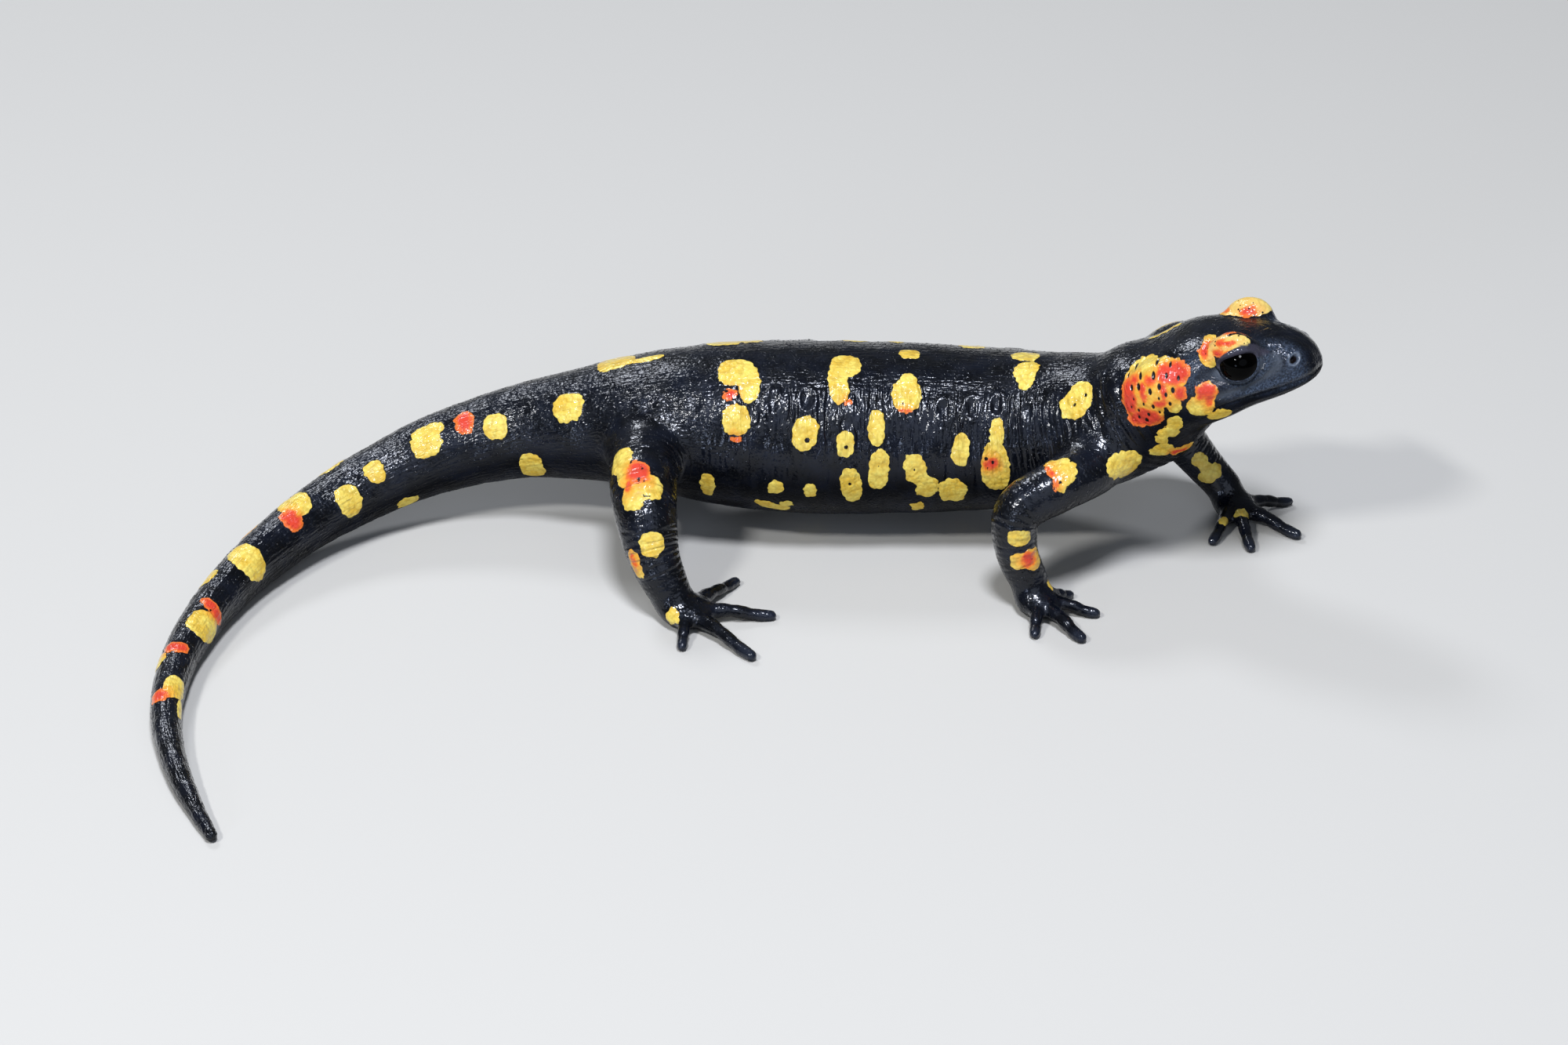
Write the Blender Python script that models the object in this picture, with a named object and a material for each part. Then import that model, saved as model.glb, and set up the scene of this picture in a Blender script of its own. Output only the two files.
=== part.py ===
"""A life-size fire salamander, still, as a museum shows it: walking pose, head raised, tail on the floor.

The flesh is one form parted by thin cuts into head, jaw, neck, trunk, tail and limbs.
X runs towards the head, Y towards the animal's left, Z up. Lengths are in millimetres until
a mesh is made. The finished animal stands on the floor, over the middle of its own footprint.
"""

import math

import bmesh
import bpy
from mathutils import Matrix, Vector

MM = 0.001
CUT = 0.3  # width of the thin cuts that part the flesh
FLOOR_REACH = 120.0  # half size of the block that trims the soles flat
FLOOR_SLAB = 12.0  # and its thickness
FINE_STEPS = 24  # samples between two stations of a spine

SKIN_BLACK = (0.012, 0.012, 0.016)
EYE_BLACK = (0.006, 0.005, 0.005)

# The animal's midline from the neck, inside the head, to the tip of the tail:
# place, half width, half height.
BODY_STATIONS = (
    ((56.0, -11.2, 28.0), 4.0, 3.6),
    ((52.8, -10.0, 25.7), 6.6, 6.2),
    ((49.0, -8.8, 23.0), 8.3, 8.2),
    ((44.0, -6.8, 19.6), 9.0, 8.8),
    ((37.0, -3.4, 16.2), 10.4, 10.0),
    ((28.0, -1.0, 14.4), 11.6, 10.9),
    ((16.0, 0.0, 13.9), 12.2, 11.5),
    ((3.0, 0.0, 14.0), 12.3, 11.7),
    ((-9.0, 0.2, 14.5), 11.3, 10.9),
    ((-18.0, 0.8, 14.7), 9.5, 9.3),
    ((-26.0, 1.6, 13.7), 7.9, 7.9),
    ((-36.0, 2.3, 12.0), 6.2, 6.5),
    ((-47.0, 0.6, 9.5), 5.2, 5.5),
    ((-57.0, -4.2, 6.9), 4.4, 4.7),
    ((-65.5, -12.0, 4.9), 3.7, 4.0),
    ((-72.5, -23.0, 3.3), 3.1, 3.3),
    ((-77.0, -37.5, 2.4), 2.5, 2.5),
    ((-77.4, -51.5, 1.9), 2.0, 2.0),
    ((-74.0, -64.5, 1.4), 1.5, 1.5),
    ((-68.8, -75.8, 0.8), 0.8, 0.8),
)
BODY_SIDES = 20
BODY_STEP = 5.0
BELLY_DROP = 0.96  # the belly hangs a little flatter than the back is round
TRUNK_END = 110.0  # past the hind limbs, in millimetres along the midline
# Where the trunk and tail are parted, measured the same way.
BODY_CUTS = (
    ("neck", 0.0, 11.5),
    ("chest", 11.5, 30.0),
    ("belly", 30.0, 62.0),
    ("hips", 62.0, 84.0),
    ("tail_base", 84.0, 108.0),
    ("tail_middle", 108.0, 132.0),
    ("tail_end", 132.0, 158.0),
    ("tail_tip", 158.0, None),
)

# The head's own frame: origin at the tip of the snout, turned to the right and raised.
SNOUT = (69.6, -15.0, 32.2)
HEAD_YAW = -17.0
HEAD_PITCH = 15.0
# Distance behind the snout, half width, crown height, chin depth.
HEAD_STATIONS = (
    (0.15, 0.9, 1.1, 0.5),
    (0.9, 2.6, 2.7, 1.3),
    (2.6, 4.3, 4.3, 2.0),
    (5.5, 5.7, 5.6, 2.8),
    (9.0, 6.9, 6.3, 3.6),
    (12.5, 7.8, 6.9, 4.8),
    (16.5, 8.4, 6.8, 5.8),
    (21.0, 8.2, 5.4, 6.5),
    (25.0, 7.2, 3.9, 6.6),
)
HEAD_SIDES = 24
HEAD_SQUARENESS = 2.5
# Places in the head's frame are for the left side.
EYE = (-9.3, 5.2, 3.7)
EYE_RADIUS = 2.6
LID = (-9.6, 5.0, 4.2)
LID_RADII = (3.6, 2.2, 3.7)
LID_TILT = 14.0  # the lid slopes back from the brow
PAROTOID = (-20.4, 5.4, 0.7)
PAROTOID_RADII = (5.0, 3.1, 3.7)
PAROTOID_TILT = 16.0
MOUTH_BACK = 11.5  # how far the lower jaw reaches behind the snout
MOUTH_TILT = 3.0
JAW_REACH = 14.0  # half size of the block that cuts the jaw out

LIMB_SIDES = 12
LIMB_STEP = 3.0
DIGIT_SIDES = 8
DIGIT_STEPS = 6
DIGIT_ROOT = 0.45  # where a digit starts, as a share of the palm's reach
DIGIT_REST = 0.7  # height of a fingertip's middle, in its own radii
KNUCKLE_RISE = 0.5
WRIST_TRIM = 2.5  # how much wider than the wrist the foot is cut back

# Each limb runs from its root inside the trunk to the middle of its palm or sole.
LIMBS = {
    "right_fore": {
        "stations": (
            ((44.0, -9.0, 18.2), 3.9, 4.2),
            ((40.5, -15.6, 17.2), 3.6, 3.9),
            ((35.3, -19.2, 16.0), 3.4, 3.5),
            ((30.6, -21.0, 13.4), 3.2, 3.2),
            ((30.4, -21.9, 8.3), 2.8, 2.8),
            ((32.2, -22.6, 3.8), 2.4, 2.5),
        ),
        "parts": ("upper_arm", "forearm", "hand"),
        "bend": 0.58,
        "palm": ((33.3, -24.1, 1.7), (2.9, 2.9, 1.9)),
        "digits": (
            ((37.8, -20.9), 0.85),
            ((40.9, -25.6), 0.9),
            ((38.6, -31.7), 0.95),
            ((32.6, -30.8), 0.85),
        ),
    },
    "left_fore": {
        "stations": (
            ((46.5, -4.5, 19.4), 3.9, 4.2),
            ((49.6, 1.2, 16.6), 3.6, 3.8),
            ((53.6, 3.6, 11.0), 3.1, 3.2),
            ((57.3, 3.3, 6.6), 2.6, 2.7),
            ((60.2, 2.2, 3.6), 2.3, 2.4),
        ),
        "parts": ("upper_arm", "forearm", "hand"),
        "bend": 0.52,
        "palm": ((61.6, 0.4, 1.7), (2.8, 2.9, 1.9)),
        "digits": (
            ((57.9, -7.4), 0.85),
            ((62.9, -9.2), 0.9),
            ((69.5, -5.8), 0.95),
            ((69.4, 3.2), 0.85),
        ),
    },
    "right_hind": {
        "stations": (
            ((-18.0, -3.5, 14.6), 5.0, 5.0),
            ((-18.6, -12.0, 14.8), 4.6, 4.6),
            ((-18.2, -19.3, 12.9), 4.1, 4.2),
            ((-17.0, -23.2, 8.0), 3.2, 3.4),
            ((-14.9, -25.3, 3.6), 2.6, 2.8),
        ),
        "parts": ("thigh", "shank", "foot"),
        "bend": 0.6,
        "palm": ((-12.8, -26.6, 1.7), (3.5, 3.2, 1.9)),
        "digits": (
            ((-9.6, -20.2), 0.75),
            ((-6.4, -17.6), 0.85),
            ((-1.6, -26.2), 0.9),
            ((-4.2, -36.0), 0.95),
            ((-13.2, -33.7), 0.85),
        ),
    },
    "left_hind": {
        "stations": (
            ((-18.5, 5.0, 14.0), 5.0, 5.0),
            ((-20.0, 12.0, 12.6), 4.6, 4.6),
            ((-23.0, 17.0, 9.6), 4.0, 4.1),
            ((-26.8, 19.2, 6.4), 3.2, 3.4),
            ((-29.6, 20.0, 3.5), 2.6, 2.8),
        ),
        "parts": ("thigh", "shank", "foot"),
        "bend": 0.6,
        "palm": ((-31.4, 20.6, 1.7), (3.5, 3.2, 1.9)),
        "digits": (
            ((-26.0, 25.2), 0.75),
            ((-28.8, 29.0), 0.85),
            ((-34.4, 30.2), 0.95),
            ((-39.4, 26.4), 0.9),
            ((-39.6, 20.6), 0.8),
        ),
    },
}


def material(name, colour, roughness):
    """A Principled surface of one colour."""
    made = bpy.data.materials.new(name)
    made.use_nodes = True
    shader = made.node_tree.nodes["Principled BSDF"]
    shader.inputs["Base Color"].default_value = (*colour, 1.0)
    shader.inputs["Roughness"].default_value = roughness
    shader.inputs["Metallic"].default_value = 0.0
    made.diffuse_color = (*colour, 1.0)
    return made


def catmull_rom(before, start, end, after, t):
    """The value at t between start and end of a curve that passes through all four."""
    return 0.5 * (
        2 * start
        + (end - before) * t
        + (2 * before - 5 * start + 4 * end - after) * t**2
        + (3 * start - before - 3 * end + after) * t**3
    )


class Spine:
    """A smooth line through stations, with an elliptical section at every distance along it."""

    def __init__(self, stations, upward, drop=1.0):
        self.upward = Vector(upward)
        self.drop = drop
        rows = [[*place, wide, high] for place, wide, high in stations]
        rows = [rows[0], *rows, rows[-1]]
        self.samples = []
        for four in zip(rows, rows[1:], rows[2:], rows[3:]):
            for step in range(FINE_STEPS):
                share = step / FINE_STEPS
                self.samples.append([catmull_rom(*values, share) for values in zip(*four)])
        self.samples.append(rows[-1])
        self.distances = [0.0]
        for near, far in zip(self.samples, self.samples[1:]):
            step = (Vector(far[:3]) - Vector(near[:3])).length
            self.distances.append(self.distances[-1] + step)

    @property
    def length(self):
        return self.distances[-1]

    def at(self, distance):
        """Place, half width and half height there."""
        for i in range(len(self.distances) - 1):
            if distance <= self.distances[i + 1]:
                break
        share = (distance - self.distances[i]) / (self.distances[i + 1] - self.distances[i])
        row = [a + (b - a) * share for a, b in zip(self.samples[i], self.samples[i + 1])]
        return Vector(row[:3]), row[3], row[4]

    def ring(self, distance, sides, swell=0.0):
        """The section's outline at that distance, swollen outwards by a few tenths if asked."""
        middle, wide, high = self.at(distance)
        ahead = self.at(min(distance + 0.5, self.length))[0]
        behind = self.at(max(distance - 0.5, 0.0))[0]
        onward = (ahead - behind).normalized()
        across = onward.cross(self.upward).normalized()
        up = across.cross(onward)
        outline = []
        for i in range(sides):
            angle = math.tau * i / sides
            rise = math.sin(angle) * (high + swell)
            rise *= self.drop if rise < 0 else 1.0
            outline.append(middle + across * (wide + swell) * math.cos(angle) + up * rise)
        return outline

    def rings(self, start, end, step, sides, swell=0.0):
        count = max(2, round((end - start) / step))
        return [
            self.ring(start + (end - start) * i / count, sides, swell) for i in range(count + 1)
        ]


def collection(name, hidden=False):
    made = bpy.data.collections.new(name)
    bpy.context.scene.collection.children.link(made)
    made.hide_render = hidden
    return made


def place(name, mesh, where):
    """The bmesh as an object of that name, in metres, in that collection."""
    bmesh.ops.recalc_face_normals(mesh, faces=mesh.faces)
    data = bpy.data.meshes.new(name)
    mesh.to_mesh(data)
    mesh.free()
    data.transform(Matrix.Scale(MM, 4))
    made = bpy.data.objects.new(name, data)
    where.objects.link(made)
    if where.hide_render:
        made.hide_render = True
        made.display_type = "WIRE"
    return made


def loft(name, rings, where):
    """A closed form through unlike rings of points, capped at both ends."""
    mesh = bmesh.new()
    loops = [[mesh.verts.new(point) for point in ring] for ring in rings]
    for near, far in zip(loops, loops[1:]):
        for i in range(len(near)):
            j = (i + 1) % len(near)
            mesh.faces.new((near[i], near[j], far[j], far[i]))
    mesh.faces.new(loops[0])
    mesh.faces.new(loops[-1])
    return place(name, mesh, where)


def egg(name, frame, middle, radii, where, tilt=0.0, across=16, down=10):
    """An ellipsoid in a frame, its front raised by a tilt in degrees."""
    mesh = bmesh.new()
    raised = Matrix.Rotation(-math.radians(tilt), 4, "Y")
    shape = frame @ Matrix.Translation(middle) @ raised @ Matrix.Diagonal((*radii, 1.0))
    bmesh.ops.create_uvsphere(mesh, u_segments=across, v_segments=down, radius=1.0, matrix=shape)
    return place(name, mesh, where)


def block(name, frame, low, high, where):
    """A box between two corners of a frame."""
    mesh = bmesh.new()
    low, high = Vector(low), Vector(high)
    shape = frame @ Matrix.Translation((low + high) / 2) @ Matrix.Diagonal((*(high - low), 1.0))
    bmesh.ops.create_cube(mesh, size=1.0, matrix=shape)
    return place(name, mesh, where)


def combine(target, others, operation):
    """Applies a Boolean of each other object to target, one at a time."""
    for other in others:
        modifier = target.modifiers.new(operation.lower(), "BOOLEAN")
        modifier.operation = operation
        modifier.solver = "EXACT"
        modifier.object = other
        graph = bpy.context.evaluated_depsgraph_get()
        result = bpy.data.meshes.new_from_object(target.evaluated_get(graph))
        target.modifiers.clear()
        target.data = result
    return target


def finish(target, look, name=None):
    """Gives a part its material, smooth shading and name."""
    if name:
        target.name = name
    target.data.materials.clear()
    target.data.materials.append(look)
    target.data.shade_smooth()
    target.data.set_sharp_from_angle(angle=math.radians(50))
    return target


def head_frame():
    """Matrix from the head's frame, forward, left, up from the snout, to the animal's."""
    turn = Matrix.Rotation(math.radians(HEAD_YAW), 4, "Z")
    raise_up = Matrix.Rotation(-math.radians(HEAD_PITCH), 4, "Y")
    return Matrix.Translation(SNOUT) @ turn @ raise_up


def head_rings(frame, swell=0.0):
    """Squarish sections of the head, from the back of the skull to the snout."""
    power = 2.0 / HEAD_SQUARENESS
    rings = []
    for behind, wide, crown, chin in reversed(HEAD_STATIONS):
        ring = []
        for i in range(HEAD_SIDES):
            angle = math.tau * i / HEAD_SIDES
            side, rise = math.cos(angle), math.sin(angle)
            left = math.copysign(abs(side) ** power, side) * (wide + swell)
            height = crown if rise > 0 else chin
            up = math.copysign(abs(rise) ** power, rise) * (height + swell)
            ring.append(frame @ Vector((-behind, left, up)))
        rings.append(ring)
    return rings


def mirrored(point):
    return (point[0], -point[1], point[2])


def whole_head(name, frame, where, cutters, swell=0.0):
    """Skull, eyelids and parotoid glands as one form."""
    head = loft(name, head_rings(frame, swell), where)
    swellings = []
    for side, turn in (("left", tuple), ("right", mirrored)):
        lid = [r + swell for r in LID_RADII]
        gland = [r + swell for r in PAROTOID_RADII]
        swellings.append(egg(f"{name}_lid_{side}", frame, turn(LID), lid, cutters, LID_TILT))
        swellings.append(
            egg(f"{name}_gland_{side}", frame, turn(PAROTOID), gland, cutters, PAROTOID_TILT)
        )
    return combine(head, swellings, "UNION")


def make_head(parts, cutters, flesh, eye_look):
    """Head, lower jaw and eyes. Returns the swollen head that trims the neck."""
    frame = head_frame()
    mouth = frame @ Matrix.Rotation(-math.radians(MOUTH_TILT), 4, "Y")
    low = Vector((-MOUTH_BACK, -JAW_REACH, -JAW_REACH))
    high = Vector((JAW_REACH, JAW_REACH, 0.0))
    half = Vector((CUT / 2,) * 3)
    jaw_space = block("jaw_space", mouth, low - half, high + half, cutters)
    jaw_block = block("jaw_block", mouth, low + half, high - half, cutters)
    head = whole_head("head", frame, parts, cutters)
    jaw = whole_head("lower_jaw", frame, parts, cutters)
    combine(jaw, [jaw_block], "INTERSECT")
    sockets = []
    for side, turn in (("left", tuple), ("right", mirrored)):
        eye_radii = (EYE_RADIUS,) * 3
        socket_radii = (EYE_RADIUS + CUT,) * 3
        eye = egg(f"eye_{side}", frame, turn(EYE), eye_radii, parts)
        finish(eye, eye_look)
        sockets.append(egg(f"socket_{side}", frame, turn(EYE), socket_radii, cutters))
    combine(head, [jaw_space, *sockets], "DIFFERENCE")
    finish(head, flesh)
    finish(jaw, flesh)
    return whole_head("head_space", frame, cutters, cutters, CUT)


def make_trunk(parts, flesh, head_space):
    """Neck, trunk and tail, parted along the midline."""
    spine = Spine(BODY_STATIONS, (0.0, 0.0, 1.0), BELLY_DROP)
    made = []
    for name, start, end in BODY_CUTS:
        first = start + (CUT / 2 if start else 0.0)
        last = end - CUT / 2 if end else spine.length
        rings = spine.rings(first, last, BODY_STEP, BODY_SIDES)
        made.append(loft(name, rings, parts))
    neck, chest = made[:2]
    combine(neck, [head_space], "DIFFERENCE")
    combine(chest, [head_space], "DIFFERENCE")
    for part in made:
        finish(part, flesh)
    return spine, made


def digit(name, base, tip, radius, where):
    """A toe: a round tube that thins a little and ends in a rounded tip, lying on the floor."""
    base, tip = Vector(base), Vector(tip)
    length = (tip - base).length
    toe = Spine(
        (
            (base, radius * 1.4, radius * 1.2),
            (base.lerp(tip, 0.4) + Vector((0, 0, KNUCKLE_RISE)), radius * 1.05, radius),
            (base.lerp(tip, 0.8), radius * 0.92, radius * 0.85),
            (tip, radius * 0.85, radius * 0.8),
        ),
        (0.0, 0.0, 1.0),
    )
    rings = toe.rings(0.0, toe.length, length / DIGIT_STEPS, DIGIT_SIDES)
    ends = []
    for share in (0.35, 0.75):
        middle = toe.at(toe.length)[0]
        reach = middle + (tip - base).normalized() * radius * share
        narrowing = math.sqrt(1 - share**2)
        ends.append([reach + (point - middle) * narrowing for point in rings[-1]])
    return loft(name, rings + ends, where)


def make_limb(name, limb, parts, cutters, flesh, trunk_space, floor):
    """Upper and lower limb and the foot with its digits, parted at the joints."""
    spine = Spine(limb["stations"], (1.0, 0.0, 0.0))
    upper, lower, end = (f"{name}_{part}" for part in limb["parts"])
    bend = spine.length * limb["bend"]
    half = CUT / 2
    thigh = loft(upper, spine.rings(0.0, bend - half, LIMB_STEP, LIMB_SIDES), parts)
    combine(thigh, [trunk_space], "DIFFERENCE")
    shank_rings = spine.rings(bend + half, spine.length - half, LIMB_STEP, LIMB_SIDES)
    shank = loft(lower, shank_rings, parts)
    palm_at, palm_radii = limb["palm"]
    foot = make_foot(end, spine, palm_at, palm_radii, limb["digits"], parts, cutters)
    combine(foot, [floor], "DIFFERENCE")
    wrist_rings = spine.rings(0.0, spine.length + half, LIMB_STEP, LIMB_SIDES, WRIST_TRIM)
    combine(foot, [loft(f"{end}_space", wrist_rings, cutters)], "DIFFERENCE")
    for part in (thigh, shank, foot):
        finish(part, flesh)


def make_foot(name, spine, palm_at, palm_radii, digits, parts, cutters):
    """Palm or sole with its digits, as one form."""
    flat = Matrix.Identity(4)
    foot = egg(name, flat, palm_at, palm_radii, parts)
    toes = []
    for number, (tip, radius) in enumerate(digits, 1):
        toward = Vector((*tip, radius * DIGIT_REST)) - Vector(palm_at)
        base = Vector(palm_at) + toward.normalized() * palm_radii[0] * DIGIT_ROOT
        base.z = radius + KNUCKLE_RISE
        sunk = (*tip, radius * DIGIT_REST)
        toes.append(digit(f"{name}_digit_{number}", base, sunk, radius, cutters))
    return combine(foot, toes, "UNION")


def set_on_origin(parts):
    """Moves the whole animal over the middle of its footprint."""
    corners = [made.matrix_world @ Vector(c) for made in parts.objects for c in made.bound_box]
    shift = Vector(
        (
            -(min(c.x for c in corners) + max(c.x for c in corners)) / 2,
            -(min(c.y for c in corners) + max(c.y for c in corners)) / 2,
            -min(c.z for c in corners),
        )
    )
    for made in parts.objects:
        made.data.transform(Matrix.Translation(shift))


def main():
    for old in list(bpy.data.objects):
        bpy.data.objects.remove(old)
    parts = collection("fire_salamander")
    cutters = collection("cutters", hidden=True)
    flesh = material("moist black skin", SKIN_BLACK, 0.3)
    eye_look = material("black eye", EYE_BLACK, 0.05)
    low = (-FLOOR_REACH, -FLOOR_REACH, -FLOOR_SLAB)
    floor = block("floor", Matrix.Identity(4), low, (FLOOR_REACH, FLOOR_REACH, 0), cutters)
    head_space = make_head(parts, cutters, flesh, eye_look)
    spine, trunk = make_trunk(parts, flesh, head_space)
    for part in trunk:
        if part.name.startswith("tail"):
            combine(part, [floor], "DIFFERENCE")
            finish(part, flesh)
    trunk_rings = spine.rings(0.0, TRUNK_END, BODY_STEP, BODY_SIDES, CUT)
    trunk_space = loft("trunk_space", trunk_rings, cutters)
    for name, limb in LIMBS.items():
        make_limb(name, limb, parts, cutters, flesh, trunk_space, floor)
    set_on_origin(parts)


main()
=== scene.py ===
import math
import time

import bmesh
import bpy
import numpy as np
from mathutils import Matrix, Vector, noise


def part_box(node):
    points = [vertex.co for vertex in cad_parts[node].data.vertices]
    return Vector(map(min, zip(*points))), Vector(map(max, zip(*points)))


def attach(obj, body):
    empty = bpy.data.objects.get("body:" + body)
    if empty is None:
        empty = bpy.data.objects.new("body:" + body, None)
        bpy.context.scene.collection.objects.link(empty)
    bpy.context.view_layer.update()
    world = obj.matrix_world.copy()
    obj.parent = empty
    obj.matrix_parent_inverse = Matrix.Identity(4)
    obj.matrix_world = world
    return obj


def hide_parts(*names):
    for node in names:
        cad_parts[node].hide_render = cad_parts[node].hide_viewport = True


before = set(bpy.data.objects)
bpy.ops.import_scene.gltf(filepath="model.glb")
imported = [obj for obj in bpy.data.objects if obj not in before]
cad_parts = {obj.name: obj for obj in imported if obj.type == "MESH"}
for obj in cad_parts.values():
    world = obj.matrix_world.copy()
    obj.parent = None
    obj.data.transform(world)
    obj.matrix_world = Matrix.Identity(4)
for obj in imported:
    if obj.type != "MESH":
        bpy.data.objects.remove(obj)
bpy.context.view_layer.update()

# A life-size fire salamander, as a museum would cast and paint it: one skin over the whole
# animal, two eyes set in their lids, and a fine layer of skin granules.
# Lengths are in millimetres in the animal's own axes (X to the head, Y to its left, Z up)
# until a mesh is finished.
started = time.time()
mm = 0.001
seed = 11
batch = 20000  # points measured at a time, to spare memory
farOff = 30.0  # distance given to points that are not near a part
noMark = -9.0  # a mark's field where there is none

bodyShape = {
    # the midline from the neck, inside the head, to the tip of the tail: place, half width, half height
    "stations": (
        ((56.0, -11.2, 28.0), 4.0, 3.6),
        ((52.8, -10.0, 25.7), 6.6, 6.2),
        ((49.0, -8.8, 23.0), 8.3, 8.2),
        ((44.0, -6.8, 19.6), 9.0, 8.8),
        ((37.0, -3.4, 16.2), 10.4, 10.0),
        ((28.0, -1.0, 14.4), 11.6, 10.9),
        ((16.0, 0.0, 13.9), 12.2, 11.5),
        ((3.0, 0.0, 14.0), 12.3, 11.7),
        ((-9.0, 0.2, 14.5), 11.3, 10.9),
        ((-18.0, 0.8, 14.7), 9.5, 9.3),
        ((-26.0, 1.6, 13.7), 7.9, 7.9),
        ((-36.0, 2.3, 12.0), 6.2, 6.5),
        ((-47.0, 0.6, 9.5), 5.2, 5.5),
        ((-57.0, -4.2, 6.9), 4.4, 4.7),
        ((-65.5, -12.0, 4.9), 3.7, 4.0),
        ((-72.5, -23.0, 3.3), 3.1, 3.3),
        ((-77.0, -37.5, 2.4), 2.5, 2.5),
        ((-77.4, -51.5, 1.9), 2.0, 2.0),
        ((-74.0, -64.5, 1.4), 1.5, 1.5),
        ((-68.8, -75.8, 0.8), 0.8, 0.8),
    ),
    "upward": (0, 0, 1),
    "bellyDrop": 0.96,
}

headShape = {
    # its own axes: forward, left and up from the tip of the snout
    "snout": (69.6, -15.0, 32.2),
    "yaw": -17.0,
    "pitch": 15.0,
    "squareness": 2.5,
    # distance behind the snout, half width, crown height, chin depth
    "sections": (
        (0.0, 0.2, 0.3, 0.2),
        (0.15, 0.9, 1.1, 0.5),
        (0.9, 2.6, 2.7, 1.3),
        (2.6, 4.3, 4.3, 2.0),
        (5.5, 5.7, 5.6, 2.8),
        (9.0, 6.9, 6.3, 3.6),
        (12.5, 7.8, 6.9, 4.8),
        (16.5, 8.4, 6.8, 5.8),
        (21.0, 8.2, 5.4, 6.5),
        (25.0, 7.2, 3.9, 6.6),
    ),
    "backCap": 5.0,
    # the left side's lid and poison gland: middle, radii, tilt in degrees
    "lid": ((-9.6, 5.0, 4.2), (3.6, 2.2, 3.7), 14.0),
    "gland": ((-20.4, 5.4, 0.7), (5.0, 3.1, 3.7), 16.0),
    "nostril": (2.55, 2.65),  # behind the snout and up, seen from the side
    "cheek": ((14.6, 8.0, 0.2), (2.8, 3.0, 3.0)),  # behind the snout, sideways, up
}

eyeShape = {
    "middle": (-9.3, 5.1, 3.6),  # left eye, in the head's axes
    "cadMiddle": (-9.3, 5.2, 3.7),  # the solid eye that it replaces
    "radius": 2.75,
    "gaze": (0.24, 0.90, 0.34),  # forward, outward, up
    "slitTilt": 10.0,
    "slitBack": 0.2,
    "halfLength": 3.05,  # of the opening, measured over the ball
    "upperHeight": 1.3,  # the upper lid hangs low and nearly straight, like a hood
    "lowerHeight": 2.35,
    "upperLid": 0.5,  # thickness of each lid's edge
    "lowerLid": 0.2,
    "lidReach": 1.6,
    "cornea": 0.04,
}

limbShapes = {
    # stations from the root inside the trunk to the wrist or ankle; palm: place, radii;
    # digits: tip on the floor, radius
    "rightFore": {
        "stations": (
            ((44.0, -9.0, 18.2), 3.9, 4.2),
            ((40.5, -15.6, 17.2), 3.6, 3.9),
            ((35.3, -19.2, 16.0), 3.4, 3.5),
            ((30.6, -21.0, 13.4), 3.2, 3.2),
            ((30.4, -21.9, 8.3), 2.8, 2.8),
            ((32.2, -22.6, 3.8), 2.4, 2.5),
        ),
        "bend": 0.58,
        "creased": 0.8,
        "palm": ((33.3, -24.1, 1.7), (2.9, 2.9, 1.9)),
        "digits": (
            ((37.8, -20.9), 0.85),
            ((40.9, -25.6), 0.9),
            ((38.6, -31.7), 0.95),
            ((32.6, -30.8), 0.85),
        ),
    },
    "leftFore": {
        "stations": (
            ((46.5, -4.5, 19.4), 3.9, 4.2),
            ((49.6, 1.2, 16.6), 3.6, 3.8),
            ((53.6, 3.6, 11.0), 3.1, 3.2),
            ((57.3, 3.3, 6.6), 2.6, 2.7),
            ((60.2, 2.2, 3.6), 2.3, 2.4),
        ),
        "bend": 0.52,
        "creased": 0.35,
        "palm": ((61.6, 0.4, 1.7), (2.8, 2.9, 1.9)),
        "digits": (
            ((57.9, -7.4), 0.85),
            ((62.9, -9.2), 0.9),
            ((69.5, -5.8), 0.95),
            ((69.4, 3.2), 0.85),
        ),
    },
    "rightHind": {
        "stations": (
            ((-18.0, -3.5, 14.6), 5.0, 5.0),
            ((-18.6, -12.0, 14.8), 4.6, 4.6),
            ((-18.2, -19.3, 12.9), 4.1, 4.2),
            ((-17.0, -23.2, 8.0), 3.2, 3.4),
            ((-14.9, -25.3, 3.6), 2.6, 2.8),
        ),
        "bend": 0.6,
        "creased": 1.0,
        "palm": ((-12.8, -26.6, 1.7), (3.5, 3.2, 1.9)),
        "digits": (
            ((-9.6, -20.2), 0.75),
            ((-6.4, -17.6), 0.85),
            ((-1.6, -26.2), 0.9),
            ((-4.2, -36.0), 0.95),
            ((-13.2, -33.7), 0.85),
        ),
    },
    "leftHind": {
        "stations": (
            ((-18.5, 5.0, 14.0), 5.0, 5.0),
            ((-20.0, 12.0, 12.6), 4.6, 4.6),
            ((-23.0, 17.0, 9.6), 4.0, 4.1),
            ((-26.8, 19.2, 6.4), 3.2, 3.4),
            ((-29.6, 20.0, 3.5), 2.6, 2.8),
        ),
        "bend": 0.6,
        "creased": 1.0,
        "palm": ((-31.4, 20.6, 1.7), (3.5, 3.2, 1.9)),
        "digits": (
            ((-26.0, 25.2), 0.75),
            ((-28.8, 29.0), 0.85),
            ((-34.4, 30.2), 0.95),
            ((-39.4, 26.4), 0.9),
            ((-39.6, 20.6), 0.8),
        ),
    },
}
digitShape = {"root": 0.45, "rest": 0.7, "knuckleRise": 0.5}
# how softly one form runs into the next: the radius of each fillet
joins = {"lid": 1.2, "gland": 1.5, "neck": 2.0, "digit": 0.8, "wrist": 1.5, "limb": 3.0}


def report(words):
    print(f"[salamander] {time.time() - started:5.1f} s  {words}")


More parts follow.
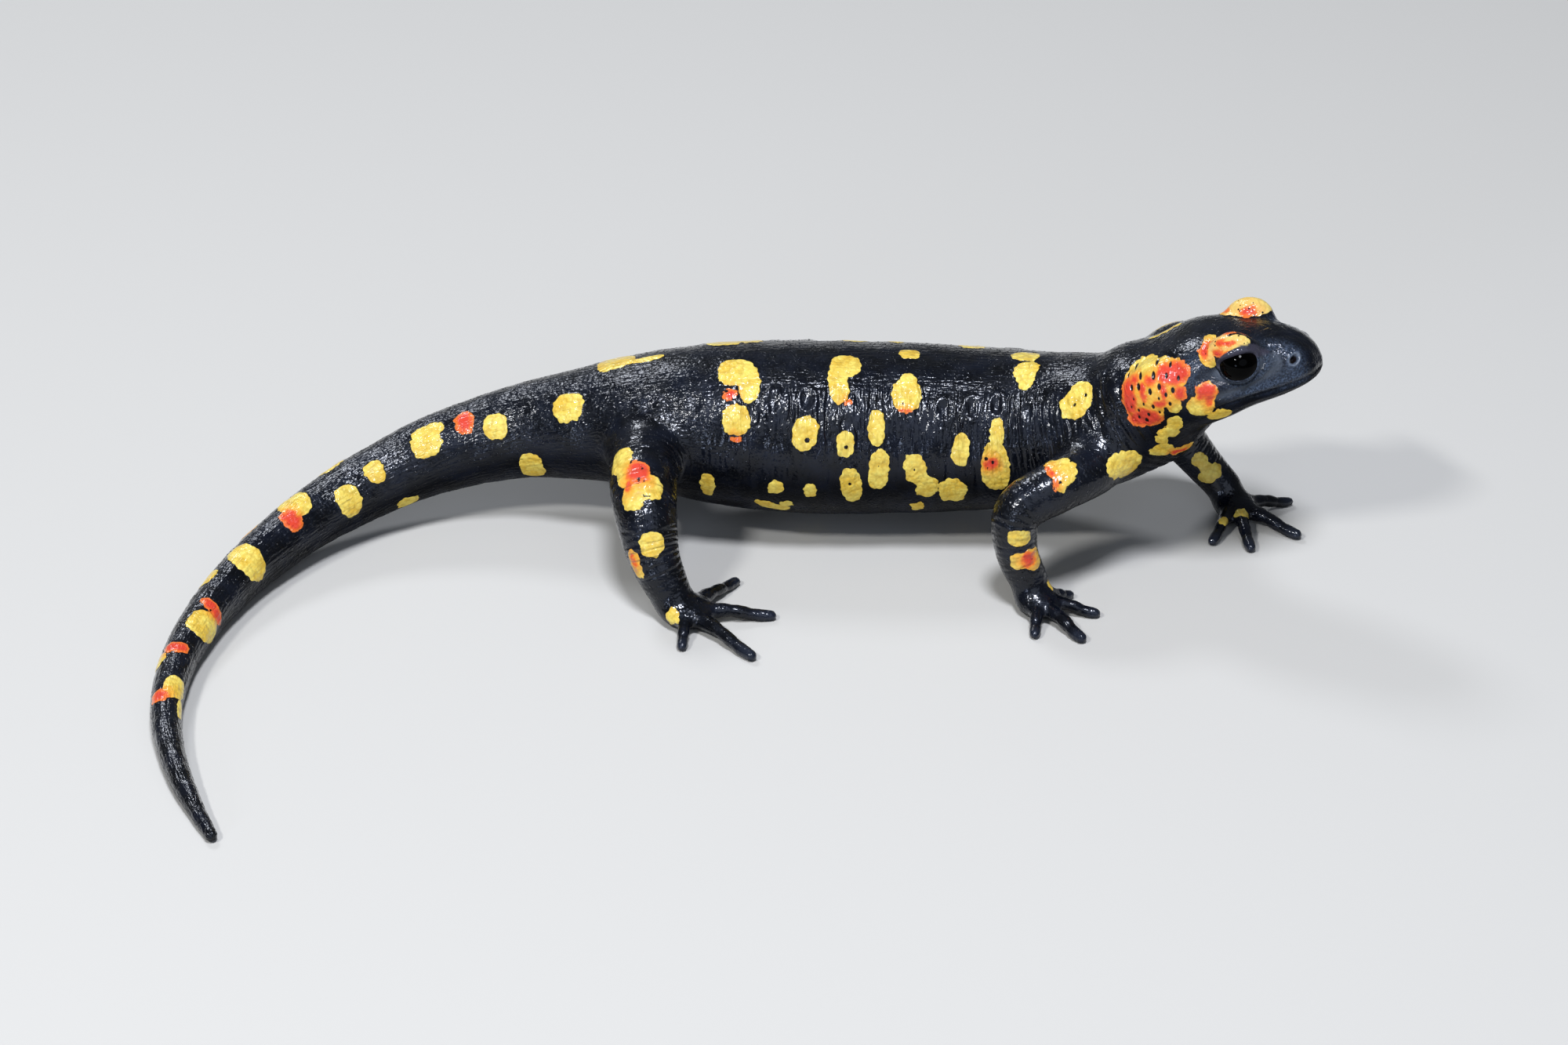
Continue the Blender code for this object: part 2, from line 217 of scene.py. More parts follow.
def srgb(hexCode):
    # an sRGB hex value as the linear colour that a shader takes
    parts = [int(hexCode[i:i + 2], 16) / 255 for i in (1, 3, 5)]
    linear = [p / 12.92 if p <= 0.04045 else ((p + 0.055) / 1.055) ** 2.4 for p in parts]
    return (*linear, 1.0)


def addNode(tree, kind, settings=None, inputs=None):
    # one node with its settings; an input is a value, a socket to join, or a node for its first output
    node = tree.nodes.new(kind)
    for name, value in (settings or {}).items():
        setattr(node, name, value)
    for socket, value in (inputs or {}).items():
        if isinstance(value, bpy.types.Node):
            value = value.outputs[0]
        if isinstance(value, bpy.types.NodeSocket):
            tree.links.new(value, node.inputs[socket])
        else:
            node.inputs[socket].default_value = value
    return node


def blankMaterial(name):
    material = bpy.data.materials.new(name)
    material.use_nodes = True
    material.node_tree.nodes.clear()
    return material, material.node_tree


def addObject(name, data):
    piece = bpy.data.objects.new(name, data)
    bpy.context.scene.collection.objects.link(piece)
    return piece


def unit(vectors):
    return vectors / np.maximum(np.linalg.norm(vectors, axis=-1, keepdims=True), 1e-9)


def smooth(low, high, values):
    # 0 below low, 1 above high, with a soft step between
    share = np.clip((values - low) / (high - low), 0, 1)
    return share * share * (3 - 2 * share)


def bell(values, width):
    return np.exp(-(values / width) ** 2)


def wave(values, spacing):
    # 0 at every step of that spacing, 1 half way between
    return 0.5 - 0.5 * np.cos(values * math.tau / spacing)


def bearing(side, rise):
    # degrees round a spine: 0 above it, plus to the left
    return np.degrees(np.arctan2(side, rise))


def catmullRom(rows, steps=12):
    # a fine smooth line through rows of numbers, passing through each
    padded = np.vstack([rows[:1], rows, rows[-1:]])
    share = np.arange(steps)[:, None] / steps
    fine = [
        0.5 * (2 * b + (c - a) * share + (2 * a - 5 * b + 4 * c - d) * share ** 2
               + (3 * b - a - 3 * c + d) * share ** 3)
        for a, b, c, d in zip(padded, padded[1:], padded[2:], padded[3:])
    ]
    return np.vstack([*fine, rows[-1:]])


def makeSpine(stations, upward, drop=1.0):
    fine = catmullRom(np.array([[*place, wide, high] for place, wide, high in stations], float))
    middle = fine[:, :3]
    along = np.concatenate([[0], np.cumsum(np.linalg.norm(np.diff(middle, axis=0), axis=1))])
    onward = unit(np.gradient(middle, along, axis=0))
    across = unit(np.cross(onward, np.array(upward, float)))
    return {
        "middle": middle, "along": along, "onward": onward, "across": across,
        "up": np.cross(across, onward), "size": fine[:, 3:], "drop": drop,
        "taper": np.gradient(fine[:, 3:], along, axis=0),
    }


def follow(points, spine):
    # each point's place beside a spine: along, sideways, upwards, beyond an end, and the size there
    middle = spine["middle"]
    nearest = np.empty(len(points), int)
    squares = (middle ** 2).sum(1)
    for start in range(0, len(points), batch):
        some = points[start:start + batch]
        nearest[start:start + batch] = (squares - 2 * some @ middle.T).argmin(1)
    offset = points - middle[nearest]
    ahead = (offset * spine["onward"][nearest]).sum(1)
    last = len(middle) - 1
    pastEnd = np.where(nearest == last, np.maximum(ahead, 0), 0)
    beyond = np.where(nearest == 0, np.minimum(ahead, 0), pastEnd)
    within = ahead - beyond
    size = spine["size"][nearest] + spine["taper"][nearest] * within[:, None]
    side = (offset * spine["across"][nearest]).sum(1)
    rise = (offset * spine["up"][nearest]).sum(1)
    return spine["along"][nearest] + ahead, side, rise, beyond, np.maximum(size, 0.2)


def tube(points, spine):
    # rough distance to the skin of a tube of oval sections with round ends, and the place beside it
    along, side, rise, beyond, size = follow(points, spine)
    wide = size[:, 0]
    high = size[:, 1] * np.where(rise < 0, spine["drop"], 1.0)
    ratio = np.sqrt((side / wide) ** 2 + (rise / high) ** 2 + (beyond / np.minimum(wide, high)) ** 2)
    reach = np.sqrt(side ** 2 + rise ** 2 + beyond ** 2)
    ratio = np.maximum(ratio, 1e-4)
    return np.where(reach < 1e-3, beyond - wide, reach - reach / ratio), along, side, rise


def egg(points, middle, radii, tilt=0.0):
    # rough distance to an ellipsoid whose front is raised by a tilt in degrees
    turn = np.array(Matrix.Rotation(-math.radians(tilt), 3, "Y"))
    local = (points - np.array(middle)) @ turn
    ratio = np.maximum(np.linalg.norm(local / np.array(radii), axis=1), 1e-4)
    reach = np.linalg.norm(local, axis=1)
    return reach - reach / ratio


def melt(first, second, soft):
    # union of two distances with a fillet
    share = np.clip(0.5 + 0.5 * (second - first) / soft, 0, 1)
    return second * (1 - share) + first * share - soft * share * (1 - share)


def headAxes():
    turn = Matrix.Rotation(math.radians(headShape["yaw"]), 3, "Z")
    lift = Matrix.Rotation(-math.radians(headShape["pitch"]), 3, "Y")
    return np.array(turn @ lift)


headTurn = headAxes()
snout = np.array(headShape["snout"])
bodySpine = makeSpine(bodyShape["stations"], bodyShape["upward"], bodyShape["bellyDrop"])
limbSpines = {name: makeSpine(shape["stations"], (1, 0, 0)) for name, shape in limbShapes.items()}


def toHead(points):
    return (points - snout) @ headTurn


def fromHead(points):
    return points @ headTurn.T + snout


def headPlace(inHead):
    # behind the snout, away from the middle, and up
    return -inHead[:, 0], np.abs(inHead[:, 1]), inHead[:, 2]


def headTable():
    # half width, crown and chin against the distance behind the snout; squares keep the snout round
    rows = np.array(headShape["sections"], float)
    rows[:, 1:] **= 2
    fine = catmullRom(rows, 16)
    order = np.argsort(fine[:, 0])
    return fine[order, 0], np.sqrt(np.maximum(fine[order, 1:], 0.01))


headBehind, headSizes = headTable()


def headDistance(points):
    behind, side, rise = -points[:, 0], points[:, 1], points[:, 2]
    wide, crown, chin = (np.interp(behind, headBehind, headSizes[:, i]) for i in range(3))
    high = np.where(rise < 0, chin, crown)
    power = headShape["squareness"]
    front = np.minimum(behind, 0)
    back = np.maximum(behind - headBehind[-1], 0)
    ratio = (np.abs(side / wide) ** power + np.abs(rise / high) ** power) ** (1 / power)
    ratio = np.sqrt(ratio ** 2 + (front / 0.3) ** 2 + (back / headShape["backCap"]) ** 2)
    reach = np.sqrt(side ** 2 + rise ** 2 + front ** 2 + back ** 2)
    return np.where(reach < 1e-3, -wide, reach - reach / np.maximum(ratio, 1e-4))


def makeDigits(shape):
    # each digit's spine, from inside the palm to its tip on the floor
    digits = []
    middle, radii = np.array(shape["palm"][0]), shape["palm"][1]
    for tip, radius in shape["digits"]:
        rest = np.array([*tip, radius * digitShape["rest"]])
        toward = unit(rest - middle)
        base = middle + toward * radii[0] * digitShape["root"]
        base[2] = radius + digitShape["knuckleRise"]
        stations = (
            (base, radius * 1.4, radius * 1.2),
            (base + (rest - base) * 0.4 + (0, 0, digitShape["knuckleRise"]), radius * 1.05, radius),
            (base + (rest - base) * 0.8, radius * 0.92, radius * 0.85),
            (rest, radius * 0.85, radius * 0.8),
        )
        digits.append(makeSpine(stations, (0, 0, 1)))
    return digits


digitSpines = {name: makeDigits(shape) for name, shape in limbShapes.items()}


def near(points, middles, margin):
    low, high = middles.min(0) - margin, middles.max(0) + margin
    return ((points > low) & (points < high)).all(1)


def skinDistance(points, detail=False):
    # the whole animal as one soft form; with detail, also how far each vertex is from each part
    body, along, side, rise = tube(points, bodySpine)
    inHead = toHead(points)
    mirrored = inHead * (1, -1, 1)
    head = headDistance(inHead)
    for name in ("lid", "gland"):
        middle, radii, tilt = headShape[name]
        head = melt(head, egg(inHead, middle, radii, tilt), joins[name])
        head = melt(head, egg(mirrored, middle, radii, tilt), joins[name])
    whole = melt(body, head, joins["neck"])
    parts = {"body": body, "head": head, "along": along, "side": side, "rise": rise}
    for name, shape in limbShapes.items():
        spine = limbSpines[name]
        limb = np.full(len(points), farOff)
        close = near(points, spine["middle"], 9.0)
        place = np.zeros((len(points), 3))
        limb[close], *beside = tube(points[close], spine)
        place[close] = np.column_stack(beside)
        middle, radii = shape["palm"]
        foot = np.full(len(points), farOff)
        close = near(points, np.array([middle]), 14.0)
        some = points[close]
        hand = egg(some, middle, radii)
        for toe in digitSpines[name]:
            hand = melt(hand, tube(some, toe)[0], joins["digit"])
        foot[close] = hand
        limb = melt(limb, foot, joins["wrist"])
        whole = melt(whole, limb, joins["limb"])
        parts[name] = limb
        parts[name + "Foot"] = foot
        parts[name + "Place"] = place
    whole = np.maximum(whole, -points[:, 2])
    return (whole, parts) if detail else whole


def slope(points, step=0.02):
    here = skinDistance(points)
    sides = [(skinDistance(points + np.eye(3)[i] * step) - here) / step for i in range(3)]
    return here, np.column_stack(sides)


def settle(points, rounds, limit=0.5):
    # moves points onto the soft form along its own slope
    for _ in range(rounds):
        here, steep = slope(points)
        size = np.maximum((steep ** 2).sum(1), 0.05)
        move = -here[:, None] * steep / size[:, None]
        length = np.linalg.norm(move, axis=1, keepdims=True)
        points = points + move * np.minimum(1, limit / np.maximum(length, 1e-9))
        points[:, 2] = np.maximum(points[:, 2], 0)
    return points


def ringLoft(mesh, rings):
    # a closed form through rings of points, fanned at both ends
    loops = [[mesh.verts.new(point) for point in ring] for ring in rings]
    count = len(loops[0])
    for one, two in zip(loops, loops[1:]):
        for i in range(count):
            j = (i + 1) % count
            mesh.faces.new((one[i], one[j], two[j], two[i]))
    mesh.faces.new(loops[0][::-1])
    mesh.faces.new(loops[-1])


def spineRings(spine, sides, every):
    picks = list(range(0, len(spine["middle"]), every))
    if picks[-1] != len(spine["middle"]) - 1:
        picks.append(len(spine["middle"]) - 1)
    turn = np.linspace(0, math.tau, sides, endpoint=False)
    caps = ((0.3, 0.95), (0.6, 0.8), (0.85, 0.53), (0.97, 0.24))
    last = picks[-1]
    steps = [(0, -reach, narrow) for reach, narrow in caps[::-1]]
    steps += [(i, 0, 1) for i in picks] + [(last, reach, narrow) for reach, narrow in caps]
    rings = []
    for i, reach, narrow in steps:
        wide, high = spine["size"][i]
        middle = spine["middle"][i] + spine["onward"][i] * min(wide, high) * reach
        rise = np.sin(turn) * high * narrow
        rise = np.where(rise < 0, rise * spine["drop"], rise)
        rings.append(middle + np.outer(np.cos(turn) * wide * narrow, spine["across"][i])
                     + np.outer(rise, spine["up"][i]))
    return rings


def addEgg(mesh, middle, radii, tilt=0.0, place=None):
    raised = Matrix.Rotation(-math.radians(tilt), 4, "Y")
    shape = (place or Matrix.Identity(4)) @ Matrix.Translation(middle) @ raised
    shape = shape @ Matrix.Diagonal((*radii, 1.0))
    bmesh.ops.create_uvsphere(mesh, u_segments=24, v_segments=16, radius=1.0, matrix=shape)


roughShape = {"voxel": 0.64, "quickScale": 1.6, "sides": 40, "limbSides": 20, "digitSides": 12, "every": 4,
              "headEvery": 6}


def makeRoughSkin():
    # overlapping closed forms for every part of the animal, made one by a voxel remesh
    mesh = bmesh.new()
    sides, every = roughShape["sides"], roughShape["every"]
    ringLoft(mesh, spineRings(bodySpine, sides, every))
    place = Matrix.Translation(headShape["snout"]) @ Matrix(headTurn.tolist()).to_4x4()
    power = 2.0 / headShape["squareness"]
    turn = np.linspace(0, math.tau, sides, endpoint=False)
    side, rise = np.cos(turn), np.sin(turn)
    rings = []
    for behind, (wide, crown, chin) in list(zip(headBehind, headSizes))[::roughShape["headEvery"]]:
        left = np.sign(side) * np.abs(side) ** power * wide
        up = np.sign(rise) * np.abs(rise) ** power * np.where(rise > 0, crown, chin)
        rings.append(fromHead(np.column_stack([np.full(sides, -behind), left, up])))
    ringLoft(mesh, rings[::-1])
    for part in ("lid", "gland"):
        middle, radii, tilt = headShape[part]
        for flip in (1, -1):
            addEgg(mesh, (middle[0], middle[1] * flip, middle[2]), radii, tilt, place)
    for name, shape in limbShapes.items():
        ringLoft(mesh, spineRings(limbSpines[name], roughShape["limbSides"], every))
        addEgg(mesh, *shape["palm"])
        for toe in digitSpines[name]:
            ringLoft(mesh, spineRings(toe, roughShape["digitSides"], every))
    bmesh.ops.recalc_face_normals(mesh, faces=mesh.faces)
    data = bpy.data.meshes.new("roughSkin")
    mesh.to_mesh(data)
    mesh.free()
    rough = addObject("roughSkin", data)
    remesh = rough.modifiers.new("remesh", "REMESH")
    remesh.mode = "VOXEL"
    remesh.voxel_size = roughShape["voxel"] * 1.0
    remesh.adaptivity = 0.0
    graph = bpy.context.evaluated_depsgraph_get()
    joined = bpy.data.meshes.new_from_object(rough.evaluated_get(graph))
    bpy.data.objects.remove(rough)
    result = bmesh.new()
    result.from_mesh(joined)
    bpy.data.meshes.remove(joined)
    return result


def getPoints(mesh):
    return np.array([vert.co[:] for vert in mesh.verts])


def setPoints(mesh, points):
    for vert, point in zip(mesh.verts, points):
        vert.co = point


def relax(mesh, points, share, rounds):
    # evens out the spacing of vertices
    mesh.verts.index_update()
    ends = np.array([[edge.verts[0].index, edge.verts[1].index] for edge in mesh.edges])
    count = np.bincount(ends.ravel(), minlength=len(points))[:, None]
    for _ in range(rounds):
        total = np.zeros_like(points)
        for i in range(3):
            total[:, i] = (np.bincount(ends[:, 0], points[ends[:, 1], i], len(points))
                           + np.bincount(ends[:, 1], points[ends[:, 0], i], len(points)))
        points = points + (total / count - points) * share
    return points


def refine(mesh, wanted):
    # halves the edges of every face whose corners are all wanted
    faces = [face for face in mesh.faces if all(wanted[vert.index] for vert in face.verts)]
    edges = list({edge for face in faces for edge in face.edges})
    bmesh.ops.subdivide_edges(mesh, edges=edges, cuts=1, use_grid_fill=True)
    mesh.verts.index_update()


def nearestLimb(parts, end=""):
    # distance from the nearest limb, or with "Foot" from the nearest hand or foot
    return np.min([parts[name + end] for name in limbShapes], axis=0)


def eyeAxes(flip):
    # forward along the slit, up over the lid, and outward gaze, in the head's axes
    forward, outward, upward = eyeShape["gaze"]
    gaze = unit(np.array([forward, outward * flip, upward]))
    tilt = math.radians(eyeShape["slitTilt"])
    ahead = np.array([math.cos(tilt), 0, math.sin(tilt)])
    ahead = unit(ahead - gaze * (ahead @ gaze))
    over = np.cross(gaze, ahead) * -flip
    return ahead, over, gaze


def aroundEye(inHead, flip):
    # distance from the ball's middle, and from the edge of the lids over the ball (minus inside)
    middle = np.array(eyeShape["middle"]) * (1, flip, 1)
    ahead, over, gaze = eyeAxes(flip)
    offset = inHead - middle
    far = np.linalg.norm(offset, axis=1)
    toward = offset / np.maximum(far, 1e-6)[:, None]
    angle = np.arccos(np.clip(toward @ gaze, -1, 1))
    spread = angle / np.maximum(np.sin(angle), 1e-4) * eyeShape["radius"]
    x, y = toward @ ahead * spread + eyeShape["slitBack"], toward @ over * spread
    high = np.where(y > 0, eyeShape["upperHeight"], eyeShape["lowerHeight"])
    power = 2.0 + 1.2 * smooth(0.0, 0.5, y)
    ratio = (np.abs(x / eyeShape["halfLength"]) ** power + np.abs(y / high) ** power) ** (1 / power)
    reach = np.hypot(x, y)
    return far, reach - reach / np.maximum(ratio, 1e-3), x, y


def bothEyes(inHead):
    return [aroundEye(inHead, flip) for flip in (1, -1)]


def shapeLids(inHead):
    # tucks the skin under the eyeball inside the opening and rounds the lids' edges over it
    radius, wide = eyeShape["radius"], eyeShape["lidReach"]
    for flip in (1, -1):
        middle = np.array(eyeShape["middle"]) * (1, flip, 1)
        far, edge, _, y = aroundEye(inHead, flip)
        beside = (far < radius + 3.0) & (edge < wide)
        some = inHead[beside]
        far, edge, y = far[beside], edge[beside], y[beside]
        toward = (some - middle) / far[:, None]
        lip = eyeShape["lowerLid"] + (eyeShape["upperLid"] - eyeShape["lowerLid"]) * smooth(-0.4, 1.2, y)
        bend = np.clip(edge / 0.4, 0, 1)
        rim = radius + 0.06 + (lip - 0.06) * np.sqrt(1 - (1 - bend) ** 2)
        under = radius * 0.78 + (radius * 0.22 + 0.06) * smooth(-0.38, 0.02, edge)
        covered = np.maximum(far, radius + lip)
        outside = rim + (covered - rim) * smooth(0.3, 0.9, edge)
        outside = outside + (far - outside) * smooth(0.9, wide, edge) * (far > outside)
        outside = outside + (far - outside) * smooth(1.1, wide, edge) * (far <= outside)
        wanted = np.where(edge < 0, under, outside)
        inHead[beside] = middle + toward * wanted[:, None]
    return inHead


# Marks: places along the body are from the neck end of the midline. Round is in degrees, 0 on the
# back, plus to the left side, minus to the right. Then length, width round the body, and a turn, if any.
bodyMarks = {
    "yellow": [
        # right flank and back, from the shoulder to the hip
        (14.9, -43, 3.6, 4.0, 14), (16.2, -53, 3.6, 3.6), (25.7, -15, 4.6, 4.2),
        (25.3, -24, 3.2, 3.4), (27.0, 6, 5.0, 3.2), (30.2, -64, 2.8, 4.2),
        (30.9, -88, 5.1, 7.4, 4), (36.7, -74, 2.9, 4.6, 8), (38.2, -105, 4.0, 4.6),
        (36.8, -103, 1.6, 3.0), (43.4, -87, 3.2, 4.8, -14), (41.8, -100, 3.1, 4.2, 14),
        (43.2, -122, 2.0, 2.6), (44.4, 0, 3.1, 2.6), (44.8, -38, 4.2, 5.0),
        (44.6, -27, 2.4, 2.4), (49.2, -60, 2.6, 4.8), (48.8, -87, 3.1, 6.0, 6),
        (52.6, -99, 2.9, 6.0, -8), (53.5, -70, 2.6, 3.6), (53.4, -15, 4.3, 4.4),
        (54.4, -30, 2.8, 6.2, -4), (58.7, -64, 3.5, 4.8, 8), (57.8, -103, 1.7, 2.6),
        (62.3, -102, 2.2, 2.4), (62.6, -124, 5.0, 2.2, 24), (60.8, -119, 2.0, 1.8),
        (67.7, -57, 3.6, 4.2), (68.0, -21, 4.9, 4.8), (66.4, -30, 2.9, 6.2, -4),
        (71.0, -108, 1.9, 4.6), (70.0, 27, 5.4, 4.8, 6), (66.4, 26, 3.0, 3.0),
        (52.0, 31, 3.8, 3.6), (46.3, 31, 2.4, 3.4), (36.0, 28, 4.0, 4.0),
        # hip and right side of the tail
        (83.2, 8, 4.8, 4.8, -14), (79.3, 2, 3.8, 1.5, -12),
        (89.0, -42, 4.2, 4.2), (96.0, -112, 4.2, 5.2), (100.0, -47, 3.6, 3.8),
        (110.4, -36, 4.6, 4.0), (109.6, -20, 5.0, 2.4), (116.0, -122, 3.6, 2.4),
        (119.0, -39, 3.1, 3.4), (124.5, -59, 3.8, 4.8), (123.0, 36, 4.2, 3.0),
        (131.2, 0, 4.6, 4.6, 14), (143.0, -26, 4.4, 6.6, 12), (157.2, -44, 4.8, 5.0, 10),
        (171.4, -30, 4.6, 3.2), (175.2, -62, 4.4, 1.2),
        # left side
        (13.5, 54, 4.2, 4.4), (18.5, 98, 3.0, 4.2, 10), (21.5, 70, 3.2, 3.0),
        (27.5, 90, 4.0, 5.6, -6), (30.5, 62, 3.4, 3.6), (34.5, 106, 2.8, 4.0),
        (39.5, 78, 3.6, 6.0, 8), (44.0, 112, 2.4, 3.6), (45.5, 62, 4.0, 3.6),
        (48.6, 92, 3.2, 4.6), (53.0, 72, 3.2, 4.0, -10), (55.5, 104, 2.6, 5.0),
        (59.5, 60, 3.6, 4.4), (61.5, 90, 3.4, 3.8), (66.5, 108, 3.0, 4.2),
        (72.5, 74, 4.0, 4.4), (78.5, 104, 2.4, 3.0), (86.5, 62, 4.2, 4.4),
        (93.5, 88, 3.8, 3.4), (101.0, 52, 4.4, 4.2), (107.5, 92, 3.0, 3.0),
        (113.0, 66, 4.2, 4.6), (137.5, 62, 4.2, 3.8), (148.0, 52, 3.6, 4.4),
        (165.0, 66, 2.8, 3.2), (20.3, 92, 2.2, 2.4), (29.3, 86, 2.4, 2.8), (38.0, 84, 2.4, 3.0),
        (41.0, 70, 2.2, 2.8), (54.6, 76, 2.0, 2.2), (60.9, 64, 2.4, 2.4), (63.0, 94, 2.2, 2.4),
        (74.2, 79, 2.6, 2.2), (88.4, 66, 2.4, 2.6), (102.8, 57, 2.4, 2.6), (114.8, 70, 2.6, 2.2),
        # a few on the belly
        (24.0, 166, 3.0, 2.4), (37.0, -160, 2.6, 2.2), (49.5, 158, 3.4, 2.0),
        (58.0, -158, 2.4, 2.6),
    ],
    "red": [
        (31.6, -85, 2.8, 2.0), (45.0, -49, 2.4, 0.6), (53.2, -44, 1.3, 0.9),
        (68.7, -40, 1.9, 1.9), (67.7, -70, 1.2, 0.7), (104.2, -28, 2.8, 3.4),
        (133.6, -25, 2.8, 3.6, 10), (153.8, -38, 1.8, 4.4, 20), (163.2, 4, 2.2, 3.6),
        (173.2, 24, 2.4, 2.6),
        (30.8, 66, 1.8, 1.8), (59.8, 68, 2.4, 1.2), (72.8, 66, 2.2, 1.8),
        (101.4, 45, 2.2, 1.8), (137.8, 55, 2.2, 2.0),
    ],
    # single gland mouths inside a mark: along, round, width
    "pits": [
        (14.4, -44, 0.6), (16.0, -52, 0.5), (30.2, -61, 0.4), (31.2, -84, 0.7), (32.4, -81, 0.6),
        (32.2, -88, 0.5), (43.6, -87, 0.4), (53.4, -72, 0.6), (58.4, -68, 0.75), (67.3, -60, 0.3),
        (52.8, -97, 0.5), (48.9, -84, 0.35), (45.2, -44, 0.4), (69.2, -37, 0.5), (68.3, -43, 0.4),
        (27.6, 92, 0.6), (39.6, 80, 0.7), (61.4, 91, 0.6), (134.2, -30, 0.4), (154.4, -34, 0.4),
    ],
}

# the same for each limb: along it, degrees round it from its front towards the right, length, width
limbMarks = {
    "rightFore": {
        "yellow": [(13.6, 118, 1.6, 2.8), (12.9, 98, 2.6, 2.8), (13.0, 84, 3.2, 3.0), (13.0, 74, 2.8, 2.6),
                   (13.8, 67, 2.0, 1.6), (22.4, 80, 2.5, 3.2),
                   (25.8, 86, 2.6, 2.6), (26.3, 46, 3.7, 3.2), (31.4, 20, 1.5, 1.2)],
        "red": [(14.2, 110, 0.8, 2.4), (14.4, 80, 0.7, 1.8, 20), (26.0, 61, 2.6, 2.3)],
        "pits": [(14.0, 74, 0.5), (26.4, 48, 0.4)],
    },
    "leftFore": {
        "yellow": [(18.7, 84, 2.8, 2.2), (21.4, 92, 2.8, 3.8), (20.4, 84, 2.4, 2.0),
                   (12.0, -70, 3.2, 3.4)],
        "red": [(11.8, -56, 1.6, 1.6)],
        "pits": [],
    },
    "rightHind": {
        "yellow": [(11.0, 132, 3.6, 4.0), (13.0, 126, 4.2, 2.6), (16.2, 112, 2.6, 3.2),
                   (15.4, 76, 2.6, 3.4, 20), (21.2, 86, 3.3, 3.4), (22.8, 142, 3.4, 2.0),
                   (30.6, 104, 2.2, 1.9)],
        "red": [(13.6, 98, 3.2, 3.4), (15.0, 118, 1.4, 1.2), (22.4, 142, 2.2, 1.1)],
        "pits": [(14.6, 98, 0.5), (13.2, 90, 0.45), (14.8, 88, 0.35)],
    },
    "leftHind": {
        "yellow": [(13.0, -80, 3.6, 3.8), (20.0, -95, 3.0, 3.0), (14.5, -128, 2.6, 2.8)],
        "red": [(13.6, -70, 1.8, 1.8)],
        "pits": [],
    },
}

# head marks: behind the snout, left (minus is right), up; half sizes the same way
headMarks = {
    "yellow": [
        ((21.0, -5.5, 2.6), (3.9, 4.4, 3.0)), ((18.0, -6.8, 3.6), (2.4, 3.0, 2.2)),
        ((18.6, -8.4, 1.6), (1.9, 1.6, 1.6)), ((21.9, -8.4, 0.2), (2.6, 2.4, 2.5)),
        ((18.0, -8.6, 0.4), (1.1, 1.8, 1.5)), ((19.2, -5.8, 5.0), (1.3, 1.4, 1.0)),  # right gland
        ((21.0, 7.6, 1.8), (4.0, 3.2, 3.6)), ((22.0, 2.1, 5.1), (0.9, 0.5, 0.8)),
        ((20.6, 2.5, 5.5), (1.1, 0.5, 0.8)), ((19.0, 2.9, 6.0), (1.0, 0.5, 0.8)),  # left gland
        ((12.8, -5.4, 5.2), (1.4, 1.9, 1.6)), ((13.0, -4.0, 6.5), (1.0, 1.6, 0.9)),
        ((12.0, -4.9, 6.8), (1.2, 1.3, 0.9)), ((10.8, -5.9, 6.8), (2.0, 1.3, 1.3)),
        ((8.6, -5.9, 6.9), (1.9, 1.2, 1.1)),  # right lid
        ((9.9, 5.2, 7.0), (3.9, 2.6, 2.5)),  # left lid
        ((14.6, -8.2, -0.4), (1.9, 2.0, 1.6)), ((13.6, -8.0, 1.3), (1.5, 1.8, 1.6)),
        ((12.7, -7.2, -2.4), (1.7, 1.8, 1.0)),
        ((14.8, 8.0, 0.0), (2.1, 2.0, 2.2)), ((11.8, 6.6, -3.4), (1.3, 1.6, 0.9)),
    ],
    "red": [
        ((17.6, -7.4, 4.1), (2.4, 2.6, 1.5)), ((23.9, -7.4, 1.2), (1.3, 2.8, 2.5)),
        ((22.2, -8.6, -1.2), (2.5, 2.4, 1.5)), ((20.6, -8.4, 3.6), (1.2, 1.6, 0.7)),
        ((16.9, -8.2, 1.6), (0.9, 2.0, 1.0)),
        ((19.6, -8.8, 0.7), (1.1, 1.4, 0.6)), ((21.8, -8.4, 2.4), (0.6, 1.6, 1.5)),
        ((19.0, -8.6, 2.4), (0.5, 1.4, 1.1)), ((22.9, -7.2, 3.4), (0.8, 1.6, 0.6)),
        ((22.4, 7.8, 0.6), (2.2, 2.6, 2.0)), ((19.0, 7.6, 3.0), (1.6, 1.6, 1.5)),
        ((13.4, -5.2, 5.9), (0.9, 1.6, 1.3)), ((11.0, -6.5, 5.9), (1.4, 0.9, 0.5)),
        ((10.6, -4.5, 8.0), (2.2, 0.9, 0.4)), ((10.3, -6.2, 7.1), (1.7, 0.8, 0.35)),
        ((12.4, -4.6, 7.2), (0.9, 0.8, 0.5)),
        ((9.2, 3.6, 6.7), (1.3, 1.2, 0.8)), ((12.2, 4.6, 6.4), (0.7, 0.8, 0.6)),
        ((13.6, -8.2, 1.5), (1.5, 1.8, 1.3)), ((13.4, -8.2, 0.0), (0.4, 1.2, 0.9)),
        ((14.9, 8.0, 1.2), (1.4, 1.6, 1.0)),
    ],
}

